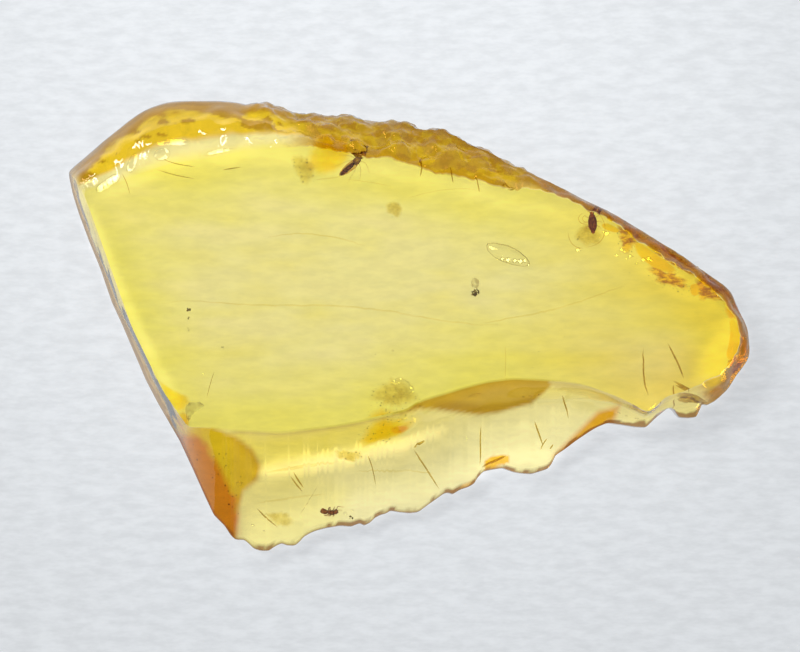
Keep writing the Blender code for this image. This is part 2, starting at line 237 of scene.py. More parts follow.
def nothing_selected() -> None:
    """Leave nothing selected and no object active."""
    if bpy.context.object and bpy.context.object.mode != "OBJECT":
        bpy.ops.object.mode_set(mode="OBJECT")
    bpy.ops.object.select_all(action="DESELECT")
    bpy.context.view_layer.objects.active = None


def finish_piece(piece: bpy.types.Object, name: str, material: bpy.types.Material,
                 replaces: tuple = ()) -> bpy.types.Object:
    """Name a piece, scale it to metres, dress it and let it ride on the model.

    Args:
        piece: The new object, its mesh drawn in millimetres.
        name: The name it gets.
        material: Its finish.
        replaces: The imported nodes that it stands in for.

    Returns:
        The same object.
    """
    nothing_selected()
    piece.name = name
    piece.data.name = name
    piece.data.transform(piece.matrix_world)
    piece.matrix_world = Matrix.Identity(4)
    piece.data.transform(Matrix.Scale(METRES_PER_MM, 4))
    piece.data.materials.clear()
    piece.data.materials.append(material)
    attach(piece, "root")
    if replaces:
        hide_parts(*replaces)
    LOG.info("%s: %d faces", name, len(piece.data.polygons))
    return piece


class Graph:
    """A material's nodes, added and joined by name."""

    def __init__(self, name: str) -> None:
        """Start a material with only its Principled shader and output."""
        self.material = bpy.data.materials.new(name)
        self.material.use_nodes = True
        self.tree = self.material.node_tree
        self.shader = self.tree.nodes["Principled BSDF"]
        self.output = self.tree.nodes["Material Output"]

    def node(self, kind: str, **settings: object) -> bpy.types.Node:
        """Add a node.

        Args:
            kind: The node's type, without ShaderNode.
            settings: Its properties, and its input values by name with spaces as underscores.

        Returns:
            The new node.
        """
        new = self.tree.nodes.new("ShaderNode" + kind)
        for key, value in settings.items():
            socket = new.inputs.get(key.replace("_", " "))
            if socket is not None:
                socket.default_value = value
            else:
                setattr(new, key, value)
        return new

    def link(self, source: bpy.types.NodeSocket, target: bpy.types.NodeSocket) -> None:
        """Join an output to an input."""
        self.tree.links.new(source, target)

    def set(self, **values: object) -> None:
        """Set the shader's own sockets, by name with spaces as underscores."""
        for key, value in values.items():
            self.shader.inputs[key.replace("_", " ")].default_value = value

    def place(self) -> bpy.types.NodeSocket:
        """The coordinates on the object, in metres."""
        return self.node("TexCoord").outputs["Object"]

    def noise(self, size_mm: float, detail: float = 3.0, rough: float = 0.55,
              stretch: tuple = (1.0, 1.0, 1.0)) -> bpy.types.NodeSocket:
        """A noise pattern whose lumps are about size_mm across, stretched if asked."""
        mapping = self.node("Mapping", vector_type="POINT")
        mapping.inputs["Scale"].default_value = stretch
        self.link(self.place(), mapping.inputs["Vector"])
        pattern = self.node("TexNoise", Scale=1.0 / (size_mm * METRES_PER_MM), Detail=detail,
                            Roughness=rough)
        self.link(mapping.outputs["Vector"], pattern.inputs["Vector"])
        return pattern.outputs["Fac"]

    def ramp(self, source: bpy.types.NodeSocket, low: float, high: float,
             start: float = 0.0, end: float = 1.0) -> bpy.types.NodeSocket:
        """Map a value from low..high to start..end, clipped and eased."""
        node = self.node("MapRange", interpolation_type="SMOOTHSTEP")
        for key, value in (("From Min", low), ("From Max", high), ("To Min", start),
                           ("To Max", end)):
            node.inputs[key].default_value = value
        self.link(source, node.inputs["Value"])
        return node.outputs["Result"]

    def math(self, operation: str, first: float | bpy.types.NodeSocket,
             second: float | bpy.types.NodeSocket) -> bpy.types.NodeSocket:
        """One sum on two sockets or numbers."""
        node = self.node("Math", operation=operation)
        for index, value in enumerate((first, second)):
            if isinstance(value, (int, float)):
                node.inputs[index].default_value = value
            else:
                self.link(value, node.inputs[index])
        return node.outputs["Value"]

    def mix(self, share: bpy.types.NodeSocket, first: tuple | bpy.types.NodeSocket,
            second: tuple | bpy.types.NodeSocket) -> bpy.types.NodeSocket:
        """Blend two colours, given or from sockets, by a share."""
        node = self.node("Mix", data_type="RGBA")
        self.link(share, node.inputs[0])
        for socket, value in ((node.inputs[6], first), (node.inputs[7], second)):
            if isinstance(value, tuple):
                socket.default_value = (*value, 1.0)
            else:
                self.link(value, socket)
        return node.outputs[2]

    def attribute(self, name: str) -> bpy.types.NodeSocket:
        """A value kept on the mesh's points."""
        return self.node("Attribute", attribute_name=name).outputs["Fac"]

    def bump(self, height: bpy.types.NodeSocket, depth_mm: float) -> None:
        """Roughen the shader's surface by a height pattern."""
        node = self.node("Bump", Strength=1.0, Distance=depth_mm * METRES_PER_MM)
        self.link(height, node.inputs["Height"])
        self.link(node.outputs["Normal"], self.shader.inputs["Normal"])


@dataclass(frozen=True)
class AmberFinish:
    """Clear resin, polished on its faces, stained and dull on its weathered rim.

    The mesh carries a stain colour, which also holds painted shade, how far a dull crust
    covers it, how finely it is scratched and how brown its grime mirrors. Everything else is
    the same all through.
    """

    absorbed_per_metre: tuple = (0.5, 31.0, 250.0)
    rind_colour: tuple = (0.42, 0.18, 0.035)
    grime_colour: tuple = (0.42, 0.18, 0.03)
    rind_opacity: float = 0.85
    polish_roughness: float = 0.012
    crust_roughness: float = 0.38
    ground_roughness: float = 0.30

    def material(self) -> bpy.types.Material:
        """The finish as a material: plain transmission with an even absorption inside."""
        graph = Graph("clear_amber")
        graph.set(IOR=AMBER_IOR, Transmission_Weight=1.0)
        density = max(self.absorbed_per_metre)
        absorb = graph.node("VolumeAbsorption", Density=density)
        absorb.inputs["Color"].default_value = (
            *(1.0 - taken / density for taken in self.absorbed_per_metre), 1.0)
        graph.link(absorb.outputs["Volume"], graph.output.inputs["Volume"])

        rind = graph.attribute("cover")
        stain_and_shade = graph.node("Attribute", attribute_name="stain_and_shade").outputs["Color"]
        graph.link(graph.mix(rind, stain_and_shade, self.rind_colour), graph.shader.inputs["Base Color"])
        graph.link(graph.mix(graph.attribute("grime"), (1.0, 1.0, 1.0), self.grime_colour),
                   graph.shader.inputs["Specular Tint"])
        clear = graph.math("SUBTRACT", 1.0, graph.math("MULTIPLY", rind, self.rind_opacity))
        graph.link(clear, graph.shader.inputs["Transmission Weight"])
        scratched = graph.math("MULTIPLY", graph.attribute("scratched"), self.ground_roughness)
        dull = graph.math("MULTIPLY", rind, self.crust_roughness)
        rough = graph.math("ADD", graph.math("ADD", scratched, dull), self.polish_roughness)
        graph.link(rough, graph.shader.inputs["Roughness"])
        return graph.material


@dataclass(frozen=True)
class StainFinish:
    """A clear film of colour on an old crack: it only tints what is seen through it.

    The colour is patchy between pale and full, and fades by the mesh's own fade value.
    """

    name: str
    colour: tuple
    pale: tuple = (1.0, 0.93, 0.6)
    patch_mm: float = 0.8
    share: tuple = (0.3, 0.6)
    stretch: tuple = (1.0, 1.0, 1.0)
    roughness: float = 0.0
    ior: float = 1.0

    def material(self) -> bpy.types.Material:
        """The finish as a material."""
        graph = Graph(self.name)
        graph.set(IOR=self.ior, Transmission_Weight=1.0, Roughness=self.roughness)
        patches = graph.ramp(graph.noise(self.patch_mm, 3.0, 0.6, self.stretch), *self.share)
        tint = graph.mix(patches, self.pale, self.colour)
        graph.link(graph.mix(graph.attribute("fade"), (1.0, 1.0, 1.0), tint),
                   graph.shader.inputs["Base Color"])
        return graph.material


@dataclass(frozen=True)
class MilkFinish:
    """The milky skin of a bubble or a bruise, half clear."""

    name: str
    colour: tuple = (1.0, 0.93, 0.90)
    clear: float = 0.45
    roughness: float = 0.3
    patch_mm: float = 0.3

    def material(self) -> bpy.types.Material:
        """The finish as a material."""
        graph = Graph(self.name)
        graph.set(IOR=1.0, Roughness=self.roughness)
        cloud = graph.ramp(graph.noise(self.patch_mm, 3.0), 0.3, 0.7, self.clear, 1.0)
        graph.link(cloud, graph.shader.inputs["Transmission Weight"])
        graph.link(graph.mix(cloud, self.colour, (1.0, 1.0, 1.0)),
                   graph.shader.inputs["Base Color"])
        return graph.material


@dataclass(frozen=True)
class EarthFinish:
    """Dark grains of old plant dust and soil."""

    name: str
    dark: tuple = (0.17, 0.13, 0.03)
    light: tuple = (0.46, 0.38, 0.12)
    grain_mm: float = 0.12
    roughness: float = 0.75
    relief_mm: float = 0.02

    def material(self) -> bpy.types.Material:
        """The finish as a material."""
        graph = Graph(self.name)
        graph.set(Roughness=self.roughness)
        tone = graph.ramp(graph.noise(self.grain_mm, 3.0), 0.3, 0.7)
        graph.link(graph.mix(tone, self.dark, self.light), graph.shader.inputs["Base Color"])
        graph.bump(graph.noise(self.grain_mm * 0.5, 3.0), self.relief_mm)
        return graph.material


@dataclass(frozen=True)
class ChitinFinish:
    """An insect's skin: brown, glossy, and a little clear, so that thin parts look lighter.

    gloss is its lowest roughness, and duller how much is added in its light spots.
    """

    name: str
    dark: tuple
    light: tuple
    gloss: float = 0.3
    spot_mm: float = 0.2
    clear: float = 0.45
    ior: float = 1.56
    duller: float = 0.2

    def material(self) -> bpy.types.Material:
        """The finish as a material."""
        graph = Graph(self.name)
        graph.set(IOR=self.ior, Transmission_Weight=self.clear)
        tone = graph.ramp(graph.noise(self.spot_mm, 2.0, 0.6), 0.3, 0.7)
        graph.link(graph.mix(tone, self.dark, self.light), graph.shader.inputs["Base Color"])
        graph.link(graph.ramp(tone, 0.0, 1.0, self.gloss, self.gloss + self.duller),
                   graph.shader.inputs["Roughness"])
        return graph.material


@dataclass(frozen=True)
class PaperFinish:
    """The matt white paper of the stage, made to glow softly as if lit from below on a light table.

    The mesh carries how strongly it glows: painted light, brighter where the slab gathers light.
    """

    colour: tuple = (0.25, 0.2593, 0.269)
    darker_share: float = 0.88
    fibre_mm: float = 0.55
    roughness: float = 0.95
    specular: float = 0.2

    def material(self) -> bpy.types.Material:
        """The finish as a material."""
        graph = Graph("white_paper")
        graph.set(Roughness=self.roughness, Specular_IOR_Level=self.specular)
        fibres = graph.noise(self.fibre_mm, 3.0, 0.65, (0.35, 1.0, 1.0))
        tone = graph.ramp(fibres, 0.25, 0.75)
        darker = tuple(self.darker_share * c for c in self.colour)
        sheet = graph.mix(tone, darker, self.colour)
        graph.link(sheet, graph.shader.inputs["Base Color"])
        graph.link(sheet, graph.shader.inputs["Emission Color"])
        graph.link(graph.attribute("glow"), graph.shader.inputs["Emission Strength"])
        graph.material.cycles.emission_sampling = "NONE"
        return graph.material


def mm(pixels: tuple) -> np.ndarray:
    """Places on the slab, in millimetres, of places in the photograph's frame."""
    pixels = np.array(pixels, dtype=float)
    return np.column_stack(((pixels[:, 0] - ORIGIN_PIXEL[0]) / PIXELS_PER_MM,
                            (ORIGIN_PIXEL[1] - pixels[:, 1]) / PIXELS_PER_MM))


def depth_inside(points: np.ndarray, outline: np.ndarray) -> np.ndarray:
    """How far points lie inside an outline, negative outside.

    Args:
        points: Places as an array with x and y last.
        outline: The outline's corners in order.

    Returns:
        The distance to the outline for each point, in the same units.
    """
    flat = points.reshape(-1, 2)
    nearest = np.full(len(flat), 1e9)
    inside = np.zeros(len(flat), dtype=bool)
    for start, end in zip(outline, np.roll(outline, -1, axis=0)):
        along = end - start
        share = np.clip(((flat - start) @ along) / (along @ along), 0.0, 1.0)
        gap = np.linalg.norm(flat - start - share[:, None] * along, axis=1)
        nearest = np.minimum(nearest, gap)
        crosses = (start[1] > flat[:, 1]) != (end[1] > flat[:, 1])
        if along[1] != 0.0:
            at = start[0] + (flat[:, 1] - start[1]) / along[1] * along[0]
            inside ^= crosses & (flat[:, 0] < at)
    return np.where(inside, nearest, -nearest).reshape(points.shape[:-1])


def carried_drum(points: np.ndarray) -> tuple:
    """Model a closed skin as a drum whose rings are carried to given places.

    Args:
        points: Stations by rings by 3, clockwise round the way that the rings advance.

    Returns:
        The new object, and for each of its points the station and the ring it came from.
    """
    count, rings = points.shape[:2]
    nothing_selected()
    bpy.ops.mesh.primitive_cylinder_add(
        vertices=count, radius=1.0, depth=2.0, end_fill_type="NGON")
    drum = bpy.context.object
    bpy.ops.object.mode_set(mode="EDIT")
    bpy.ops.mesh.select_all(action="DESELECT")
    bm = bmesh.from_edit_mesh(drum.data)
    for edge in bm.edges:
        low, high = (v.co.z for v in edge.verts)
        edge.select_set(low * high < 0.0)
    bmesh.update_edit_mesh(drum.data)
    bpy.ops.mesh.subdivide_edgering(number_cuts=rings - 2, interpolation="LINEAR")
    bpy.ops.object.mode_set(mode="OBJECT")
    mesh = drum.data
    places = np.empty(len(mesh.vertices) * 3)
    mesh.vertices.foreach_get("co", places)
    places = places.reshape(-1, 3)
    turn = np.arctan2(places[:, 1], places[:, 0]) / math.tau
    station = -np.round(turn * count).astype(int) % count
    ring = np.round((places[:, 2] + 1.0) / 2.0 * (rings - 1)).astype(int)
    mesh.vertices.foreach_set("co", points[station, ring].ravel())
    mesh.update()
    return drum, station, ring


def carried_ball(place: Callable[[np.ndarray], np.ndarray], segments: int,
                 rings: int) -> bpy.types.Object:
    """Model a closed form as a ball whose points are carried to new places.

    Args:
        place: A function that takes unit-ball points (an array) and gives the new ones.
        segments: How many points the ball has round its middle.
        rings: How many bands it has from pole to pole.

    Returns:
        The new object, smoothly shaded.
    """
    nothing_selected()
    bpy.ops.mesh.primitive_uv_sphere_add(segments=segments, ring_count=rings, radius=1.0)
    ball = bpy.context.object
    points = np.empty(len(ball.data.vertices) * 3)
    ball.data.vertices.foreach_get("co", points)
    ball.data.vertices.foreach_set("co", place(points.reshape(-1, 3)).ravel())
    ball.data.update()
    bpy.ops.object.shade_smooth()
    return ball


def with_fade(piece: bpy.types.Object, fade: np.ndarray) -> bpy.types.Object:
    """Keep on a mesh's points how strongly its colour shows."""
    layer = piece.data.attributes.new("fade", "FLOAT", "POINT")
    layer.data.foreach_set("value", np.clip(fade, 0.0, 1.0))
    return piece


def joined(parts: list) -> bpy.types.Object:
    """Join objects into the first of them."""
    nothing_selected()
    for part in parts:
        part.select_set(True)
    bpy.context.view_layer.objects.active = parts[0]
    if len(parts) > 1:
        bpy.ops.object.join()
    return parts[0]


def turned_inside_out(shell: bpy.types.Object) -> bpy.types.Object:
    """Make a closed shell face inwards, so that it is a hollow in what holds it."""
    nothing_selected()
    shell.select_set(True)
    bpy.context.view_layer.objects.active = shell
    bpy.ops.object.mode_set(mode="EDIT")
    bpy.ops.mesh.select_all(action="SELECT")
    bpy.ops.mesh.flip_normals()
    bpy.ops.object.mode_set(mode="OBJECT")
    return shell


# How often a line's corners are cut off to round it
CORNER_CUTS = 3


def smooth_path(corners: np.ndarray, count: int) -> np.ndarray:
    """Places evenly along a smooth open line through a few corners."""
    for _ in range(CORNER_CUTS):
        quarter = corners[:-1] * 0.75 + corners[1:] * 0.25
        three = corners[:-1] * 0.25 + corners[1:] * 0.75
        middle = np.stack((quarter, three), axis=1).reshape(-1, corners.shape[1])
        corners = np.concatenate((corners[:1], middle, corners[-1:]))
    walked = np.concatenate(([0.0], np.cumsum(np.linalg.norm(np.diff(corners, axis=0), axis=1))))
    share = np.linspace(0.0, walked[-1], count)
    return np.column_stack([np.interp(share, walked, axis) for axis in corners.T])


# A film thinner than this has its points crowded towards its rim
THIN_MM = 0.03
# How many places the rounded outline of a film has
OUTLINE_PLACES = 400


@dataclass(frozen=True)
class Film:
    """A thin closed sheet inside an outline, such as an old crack or a flat bubble.

    outline is in the photograph's frame, depth the height of its middle above the back, slope
    how its height changes along X and Y, and bow how much its middle is raised. ragged and wavy
    are how uneven its outline and its height are, and soft is how far in its colour fades.
    """

    outline: tuple
    depth: float
    slope: tuple = (0.0, 0.0)
    half_thickness: float = 0.02
    bow: float = 0.0
    ragged: float = 0.0
    wavy: float = 0.0
    soft: float = 0.5
    segments: int = 64
    rings: int = 14

    def shape(self) -> bpy.types.Object:
        """Model the film as a ball pressed flat and drawn out to its outline."""
        corners = mm(self.outline)
        middle = corners.mean(axis=0)
        round_trip = np.concatenate((corners, corners[:2]))
        walk = smooth_path(round_trip, OUTLINE_PLACES) - middle
        bearing = np.arctan2(walk[:, 1], walk[:, 0])
        reach = np.linalg.norm(walk, axis=1)
        order = np.argsort(bearing)
        fades = []

        def place(ball: np.ndarray) -> np.ndarray:
            """Carry the ball's points to the film, and note how far each is from its rim."""
            turn = np.arctan2(ball[:, 1], ball[:, 0])
            out = np.linalg.norm(ball[:, :2], axis=1)
            share = np.sin(0.5 * math.pi * out) if self.half_thickness < THIN_MM else out
            fades.append(smooth_step((1.0 - share) / self.soft))
            rim = np.column_stack((np.cos(turn), np.sin(turn)))
            radius = np.interp(turn, bearing[order], reach[order], period=math.tau)
            edge = np.column_stack((middle + rim * radius[:, None], np.full(len(turn), 9.0)))
            radius = radius * (1.0 + self.ragged * grain(edge, 2.2, 4))
            plan = rim * (radius * share)[:, None]
            height = (self.depth + plan @ np.array(self.slope) + self.bow * (1.0 - out ** 2)
                      + self.half_thickness * ball[:, 2])
            plan = plan + middle
            ground = np.column_stack((plan, np.full(len(plan), self.depth)))
            height = height + self.wavy * grain(ground, 0.8, 3)
            return np.column_stack((plan, height))

        return with_fade(carried_ball(place, self.segments, self.rings), fades[0])


# A blade's foot and its top each lean half of the way
LEAN_SHARE = 0.5
# How many corners a blade has across
BLADE_SIDES = 8
# The share of a blade's length, at its ends, in which its colour fades
SEAM_FADE = 0.6


@dataclass(frozen=True)
class Seam:
    """A thin blade along a line, such as a crack seen on edge or a flow line in the resin.

    line is in the photograph's frame. depths are the heights of its middle at both ends, tall
    its height, lean how far its foot stands to the side, thick its thickness, and wiggle how
    far it strays from the line.
    """

    line: tuple
    depths: tuple
    tall: float = 0.6
    lean: float = 0.12
    thick: float = 0.03
    wiggle: float = 0.0
    points: int = 26

    def shape(self) -> bpy.types.Object:
        """Model the blade as a flattened tube that tapers to both ends."""
        plan = smooth_path(mm(self.line), self.points)
        share = np.linspace(0.0, 1.0, self.points)
        height = self.depths[0] + (self.depths[1] - self.depths[0]) * share
        path = np.column_stack((plan, height))
        if self.wiggle:
            path[:, 0] += self.wiggle * grain(path + 3.0, 2.5, 2)
            path[:, 1] += self.wiggle * grain(path + 31.0, 2.5, 2)
        along = np.gradient(path, axis=0)
        along /= np.linalg.norm(along, axis=1)[:, None]
        side = np.column_stack((-along[:, 1], along[:, 0], np.zeros(len(along))))
        side /= np.linalg.norm(side, axis=1)[:, None]
        up = np.array((0.0, 0.0, self.tall / 2.0)) + side * (self.lean * LEAN_SHARE)
        across = np.cross(along, up)
        across /= np.linalg.norm(across, axis=1)[:, None]
        taper = np.sqrt(np.clip(np.sin(math.pi * np.clip(share, 0.01, 0.99)), 0.02, 1.0))
        turn = -math.tau * np.arange(BLADE_SIDES) / BLADE_SIDES
        lift = np.cos(turn)[:, None, None] * (up * taper[:, None])[None]
        swell = np.sin(turn)[:, None, None] * (across * (self.thick / 2 * taper)[:, None])[None]
        tube, _, ring = carried_drum(path[None] + lift + swell)
        bpy.ops.object.shade_smooth()
        return with_fade(tube, smooth_step(np.sin(math.pi * share[ring]) / SEAM_FADE))


# How far inside its outline a grain of dust has its middle, in millimetres
DUST_MARGIN = 0.02


@dataclass(frozen=True)
class Dust:
    """A drift of small grains inside an outline and between two heights.

    radii are those of the smallest and the largest grain, and seed starts their random draws.
    """

    outline: tuple
    depths: tuple
    count: int
    radii: tuple
    seed: int

    def shape(self) -> list:
        """Model the grains, each a small uneven ball."""
        rng = np.random.default_rng(self.seed)
        corners = mm(self.outline)
        low, high = corners.min(axis=0), corners.max(axis=0)
        grains = []
        nothing_selected()
        bpy.ops.mesh.primitive_ico_sphere_add(subdivisions=1, radius=1.0)
        first = bpy.context.object
        while len(grains) < self.count:
            spot = low + (high - low) * rng.random(2)
            radius = self.radii[0] + (self.radii[1] - self.radii[0]) * rng.random() ** 2
            height = self.depths[0] + (self.depths[1] - self.depths[0]) * rng.random()
            squeeze = 0.5 + 0.9 * rng.random(3)
            turn = rng.random() * math.tau
            if depth_inside(spot[None], corners)[0] < DUST_MARGIN:
                continue
            copy = first.copy()
            copy.data = first.data.copy()
            copy.data.transform(Matrix.Translation((*spot, height))
                                @ Matrix.Rotation(turn, 4, "Z")
                                @ Matrix.Diagonal((*(squeeze * radius), 1.0)))
            bpy.context.collection.objects.link(copy)
            grains.append(copy)
        bpy.data.objects.remove(first)
        return grains


@dataclass(frozen=True)
class Wash:
    """A wash of colour on the slab's rim, inside an outline in the photograph's frame."""

    outline: tuple
    colour: tuple
    strength: float = 1.0
    soft_mm: float = 0.25
    ragged_mm: float = 0.0


# The colours of the rim's stains, as the light that they let through, and of the shade painted
# under the lip
GOLD = (1.0, 0.57, 0.004)
DOME_GOLD = (0.70, 0.40, 0.0006)
OLIVE_GOLD = (0.46, 0.30, 0.002)
LENS_SHADE_GOLD = (0.52, 0.28, 0.0005)
ORANGE = (0.72, 0.10, 0.001)
STEP_ORANGE = (0.78, 0.26, 0.002)
CLEAR_ORANGE = (0.95, 0.40, 0.01)
PALE_GOLD = (1.0, 0.97, 0.22)

WASHES = (
    # the lip's dark lens, which is painted shade under the lip, its pale shoulder and the film
    # right of it
    Wash(((398, 414), (419, 400), (438, 394.5), (464, 387), (483, 382), (509, 379), (530, 380),
          (545, 381), (549, 386), (542, 394), (530, 404), (512, 409), (496, 413.5),
          (477, 415.5), (458, 413.5), (438, 411), (417, 410)), LENS_SHADE_GOLD, 0.98, 0.24, 0.0),
    Wash(((430, 404), (450, 402), (480, 405), (508, 402), (530, 396), (540, 391), (530, 406),
          (512, 409), (496, 413.5), (477, 415.5), (458, 413.5), (438, 411)), OLIVE_GOLD, 0.7,
         0.5, 0.0),
    Wash(((545, 382), (583, 386), (621, 401), (645, 415), (622, 408), (596, 400),
          (557, 391)), OLIVE_GOLD, 0.35, 0.12, 0.05),
    # the orange wall of the step at its right end
    Wash(((618, 406), (612, 428), (598, 444), (580, 458), (562, 470), (552, 456), (566, 442),
          (580, 428), (596, 412)), STEP_ORANGE, 1.0, 0.45, 0.0),
    # the stained lower left corner
    Wash(((170, 412), (205, 425), (235, 437), (252, 450), (260, 466), (257, 480),
          (243, 492), (240, 505), (237, 525), (238, 560), (180, 520), (150, 440)),
         DOME_GOLD, 1.0, 0.34, 0.0),
    Wash(((228, 437), (250, 446), (262, 462), (260, 480), (246, 491), (254, 474), (248, 455)),
         OLIVE_GOLD, 0.45, 0.4, 0.0),
    Wash(((150, 430), (200, 436), (214, 458), (224, 480), (237, 498), (238, 520), (240, 570),
          (180, 540), (140, 450)), ORANGE, 0.92, 0.6, 0.10),
    Wash(((225, 500), (250, 476), (300, 470), (345, 490), (340, 560), (230, 570)),
         (1.0, 0.97, 0.55), 0.8, 1.6, 0.0),
    Wash(((180, 405), (205, 425), (260, 440), (330, 432), (330, 455), (290, 462),
          (262, 470), (230, 440)), PALE_GOLD, 0.8, 1.0, 0.04),
    # golden streaks low on the broken side
    Wash(((330, 430), (410, 413), (417, 420), (395, 440), (360, 452), (325, 450)),
         PALE_GOLD, 0.7, 0.8, 0.04),
    Wash(((484, 460), (492, 456), (508, 455), (509, 462), (484, 470)), CLEAR_ORANGE, 1.0, 0.10,
         0.04),
    Wash(((450, 492), (462, 484), (480, 476), (484, 474), (478, 480), (466, 490)), CLEAR_ORANGE,
         0.8, 0.10, 0.06),
    # the dark hollow and the stain at the blunt end
    Wash(((722, 358), (733, 356), (741, 364), (738, 374), (726, 374)), ORANGE, 0.9, 0.15, 0.1),
    Wash(((716, 290), (752, 300), (754, 352), (738, 352), (728, 330)), GOLD, 0.9, 0.3, 0.2),
)


# The values of the amber's points besides their stain and painted shade
POINT_VALUES = ("cover", "scratched", "grime")


@dataclass
class AmberSlab:
    """The clear lump, from the rim's stretches: one closed skin round the whole piece.

    Lengths are in millimetres. A reach is how far round the rim values are averaged. The widths
    of the brown bands are for the left, the middle and the right of the weathered rim.
    """

    spacing: float = 0.085
    wall_rings: int = 7
    surface_rings: int = 34
    outline_stride: int = 14
    face_rings: int = 26
    face_middle: tuple = (3.0, 2.5)
    shoulder_run: float = 0.64
    shoulder_drop: float = 0.085
    shoulder_power: float = 1.5
    widest_share: float = 0.4
    lean_share: float = 0.4
    rounded_power: float = 2.0
    hollow_power: float = 2.1
    scarp_run: float = 0.3
    lumps_per_mm: float = 0.9
    lump_gain: float = 1.6
    lump_sideways: float = 0.6
    cap_inset: float = 0.07
    crease_angle: float = math.radians(38)
    nature_reach: float = 0.3
    keen_reach: float = 0.085
    calm_reach: float = 1.3
    inner_reach: float = 0.35
    profile_reach: float = 0.5
    inward_reach: float = 1.0
    calm_share: float = 0.45
    brown_bands: tuple = (1.02, 1.35, 1.0)
    edge_width: float = 0.20
    edge_bites: float = 0.13
    edge_shade_colour: tuple = (0.14, 0.035, 0.04)
    crust_colour: tuple = (0.30, 0.17, 0.05)
    rust_colour: tuple = (0.22, 0.07, 0.02)
    fracture_tint: tuple = (1.0, 0.87, 0.36)
    shoulder_tint: tuple = (1.0, 0.97, 0.30)
    jags: float = 0.13
    ground_tint: tuple = (0.95, 0.55, 0.28)

    def stations(self) -> dict:
        """Values at every place round the rim.

        Returns:
            Arrays by name: the outer and inner points, the profile's values, and how far the
            place is weathered, broken or ground.
        """
        rows = {key: [] for key in ("outer", "inner", "profile", "nature")}
        for side, following in zip(RIM, RIM[1:] + RIM[:1]):
            outer = mm(side.outer + following.outer[:1])
            inner = np.array(side.inner + following.inner[:1])
            steps = np.linalg.norm(np.diff(outer, axis=0), axis=1)
            walked = np.concatenate(([0.0], np.cumsum(steps)))
            count = max(2, round(walked[-1] / self.spacing))
            share = np.arange(count) / count
            inner_walk = np.concatenate(
                ([0.0], np.cumsum(np.linalg.norm(np.diff(inner, axis=0), axis=1))))
            rows["outer"].append(np.column_stack(
                [np.interp(share * walked[-1], walked, outer[:, axis]) for axis in (0, 1)]))
            rows["inner"].append(np.column_stack(
                [np.interp(share * inner_walk[-1], inner_walk, inner[:, axis])
                 for axis in (0, 1)]))
            here, there = (np.array((s.wall, s.tuck, s.form, s.scarp, s.lumps))
                           for s in (side, following))
            rows["profile"].append(here + (there - here) * share[:, None])
            kind = np.array([side.nature is nature for nature in Nature], dtype=float)
            rows["nature"].append(np.tile(kind, (count, 1)))
        return {key: np.concatenate(values) for key, values in rows.items()}

    def smoothed(self, values: np.ndarray, reach_mm: float) -> np.ndarray:
        """Values round the rim, each averaged with its neighbours within a reach."""
        count = max(1, round(reach_mm / self.spacing))
        offsets = np.arange(-2 * count, 2 * count + 1)
        weights = np.exp(-0.5 * (offsets / count) ** 2)
        total = sum(np.roll(values, -o, axis=0) * w for o, w in zip(offsets, weights))
        return total / weights.sum()

    def climb(self, run: np.ndarray, form: np.ndarray, scarp: np.ndarray,
              shoulder: np.ndarray) -> np.ndarray:
        """How far up the rim's profile is.

        Args:
            run: The share of the way in to the top face.
            form: How rounded (1) or hollow (-1) the profile is.
            scarp: The share of the climb that is a steep step at the top.
            shoulder: How far the profile ends in a gently sloping shoulder.

        Returns:
            The share of the way up from the outer wall to the top face.
        """
        below = (1.0 - self.shoulder_drop) * (
            1.0 - (1.0 - np.minimum(run / self.shoulder_run, 1.0)) ** self.rounded_power)
        over = np.clip((1.0 - run) / (1.0 - self.shoulder_run), 0.0, 1.0)
        above = below + self.shoulder_drop * (1.0 - over ** self.shoulder_power)
        sloped = np.where(run < self.shoulder_run, below, above)
        rounded = 1.0 - (1.0 - run) ** self.rounded_power
        bent = np.where(form >= 0.0, rounded, run ** self.hollow_power)
        slope = run + (bent - run) * np.abs(form)
        slope = slope + (sloped - slope) * shoulder
        step = rise(run, 1.0 - self.scarp_run, 1.0)
        return slope + (step - slope) * scarp

    def skin(self) -> tuple:
        """Points of the slab's skin, ring by ring, and the values for its finish.

        Returns:
            The points as an array of stations by rings by 3, and a dictionary of point values.
        """
        rim = self.stations()
        nature = self.smoothed(rim["nature"], self.nature_reach)
        weathered, broken, _ = nature.T
        soft_outer = self.smoothed(rim["outer"], self.nature_reach)
        keen_outer = self.smoothed(rim["outer"], self.keen_reach)
        soft = np.clip(2.0 * weathered - 1.0, 0.0, 1.0)[:, None]
        outer = keen_outer + (soft_outer - keen_outer) * soft
        calm_outer = self.smoothed(rim["outer"], self.calm_reach)
        inner = self.smoothed(rim["inner"], self.inner_reach)
        wall, tuck, form, scarp, lumps = self.smoothed(rim["profile"], self.profile_reach).T
        shoulder = rise(outer[:, 0], -6.5, -9.5) * weathered
        inwards = self.smoothed(rim["inner"], self.inward_reach) - calm_outer
        inwards /= np.linalg.norm(inwards, axis=1)[:, None]
        jagged = self.jags * weathered * rise(outer[:, 0], -8.0, -5.0)
        jag_places = np.column_stack((inner, np.full(len(inner), 30.0)))
        inner = inner + inwards * (jagged * grain(jag_places, 1.5, 3))[:, None]

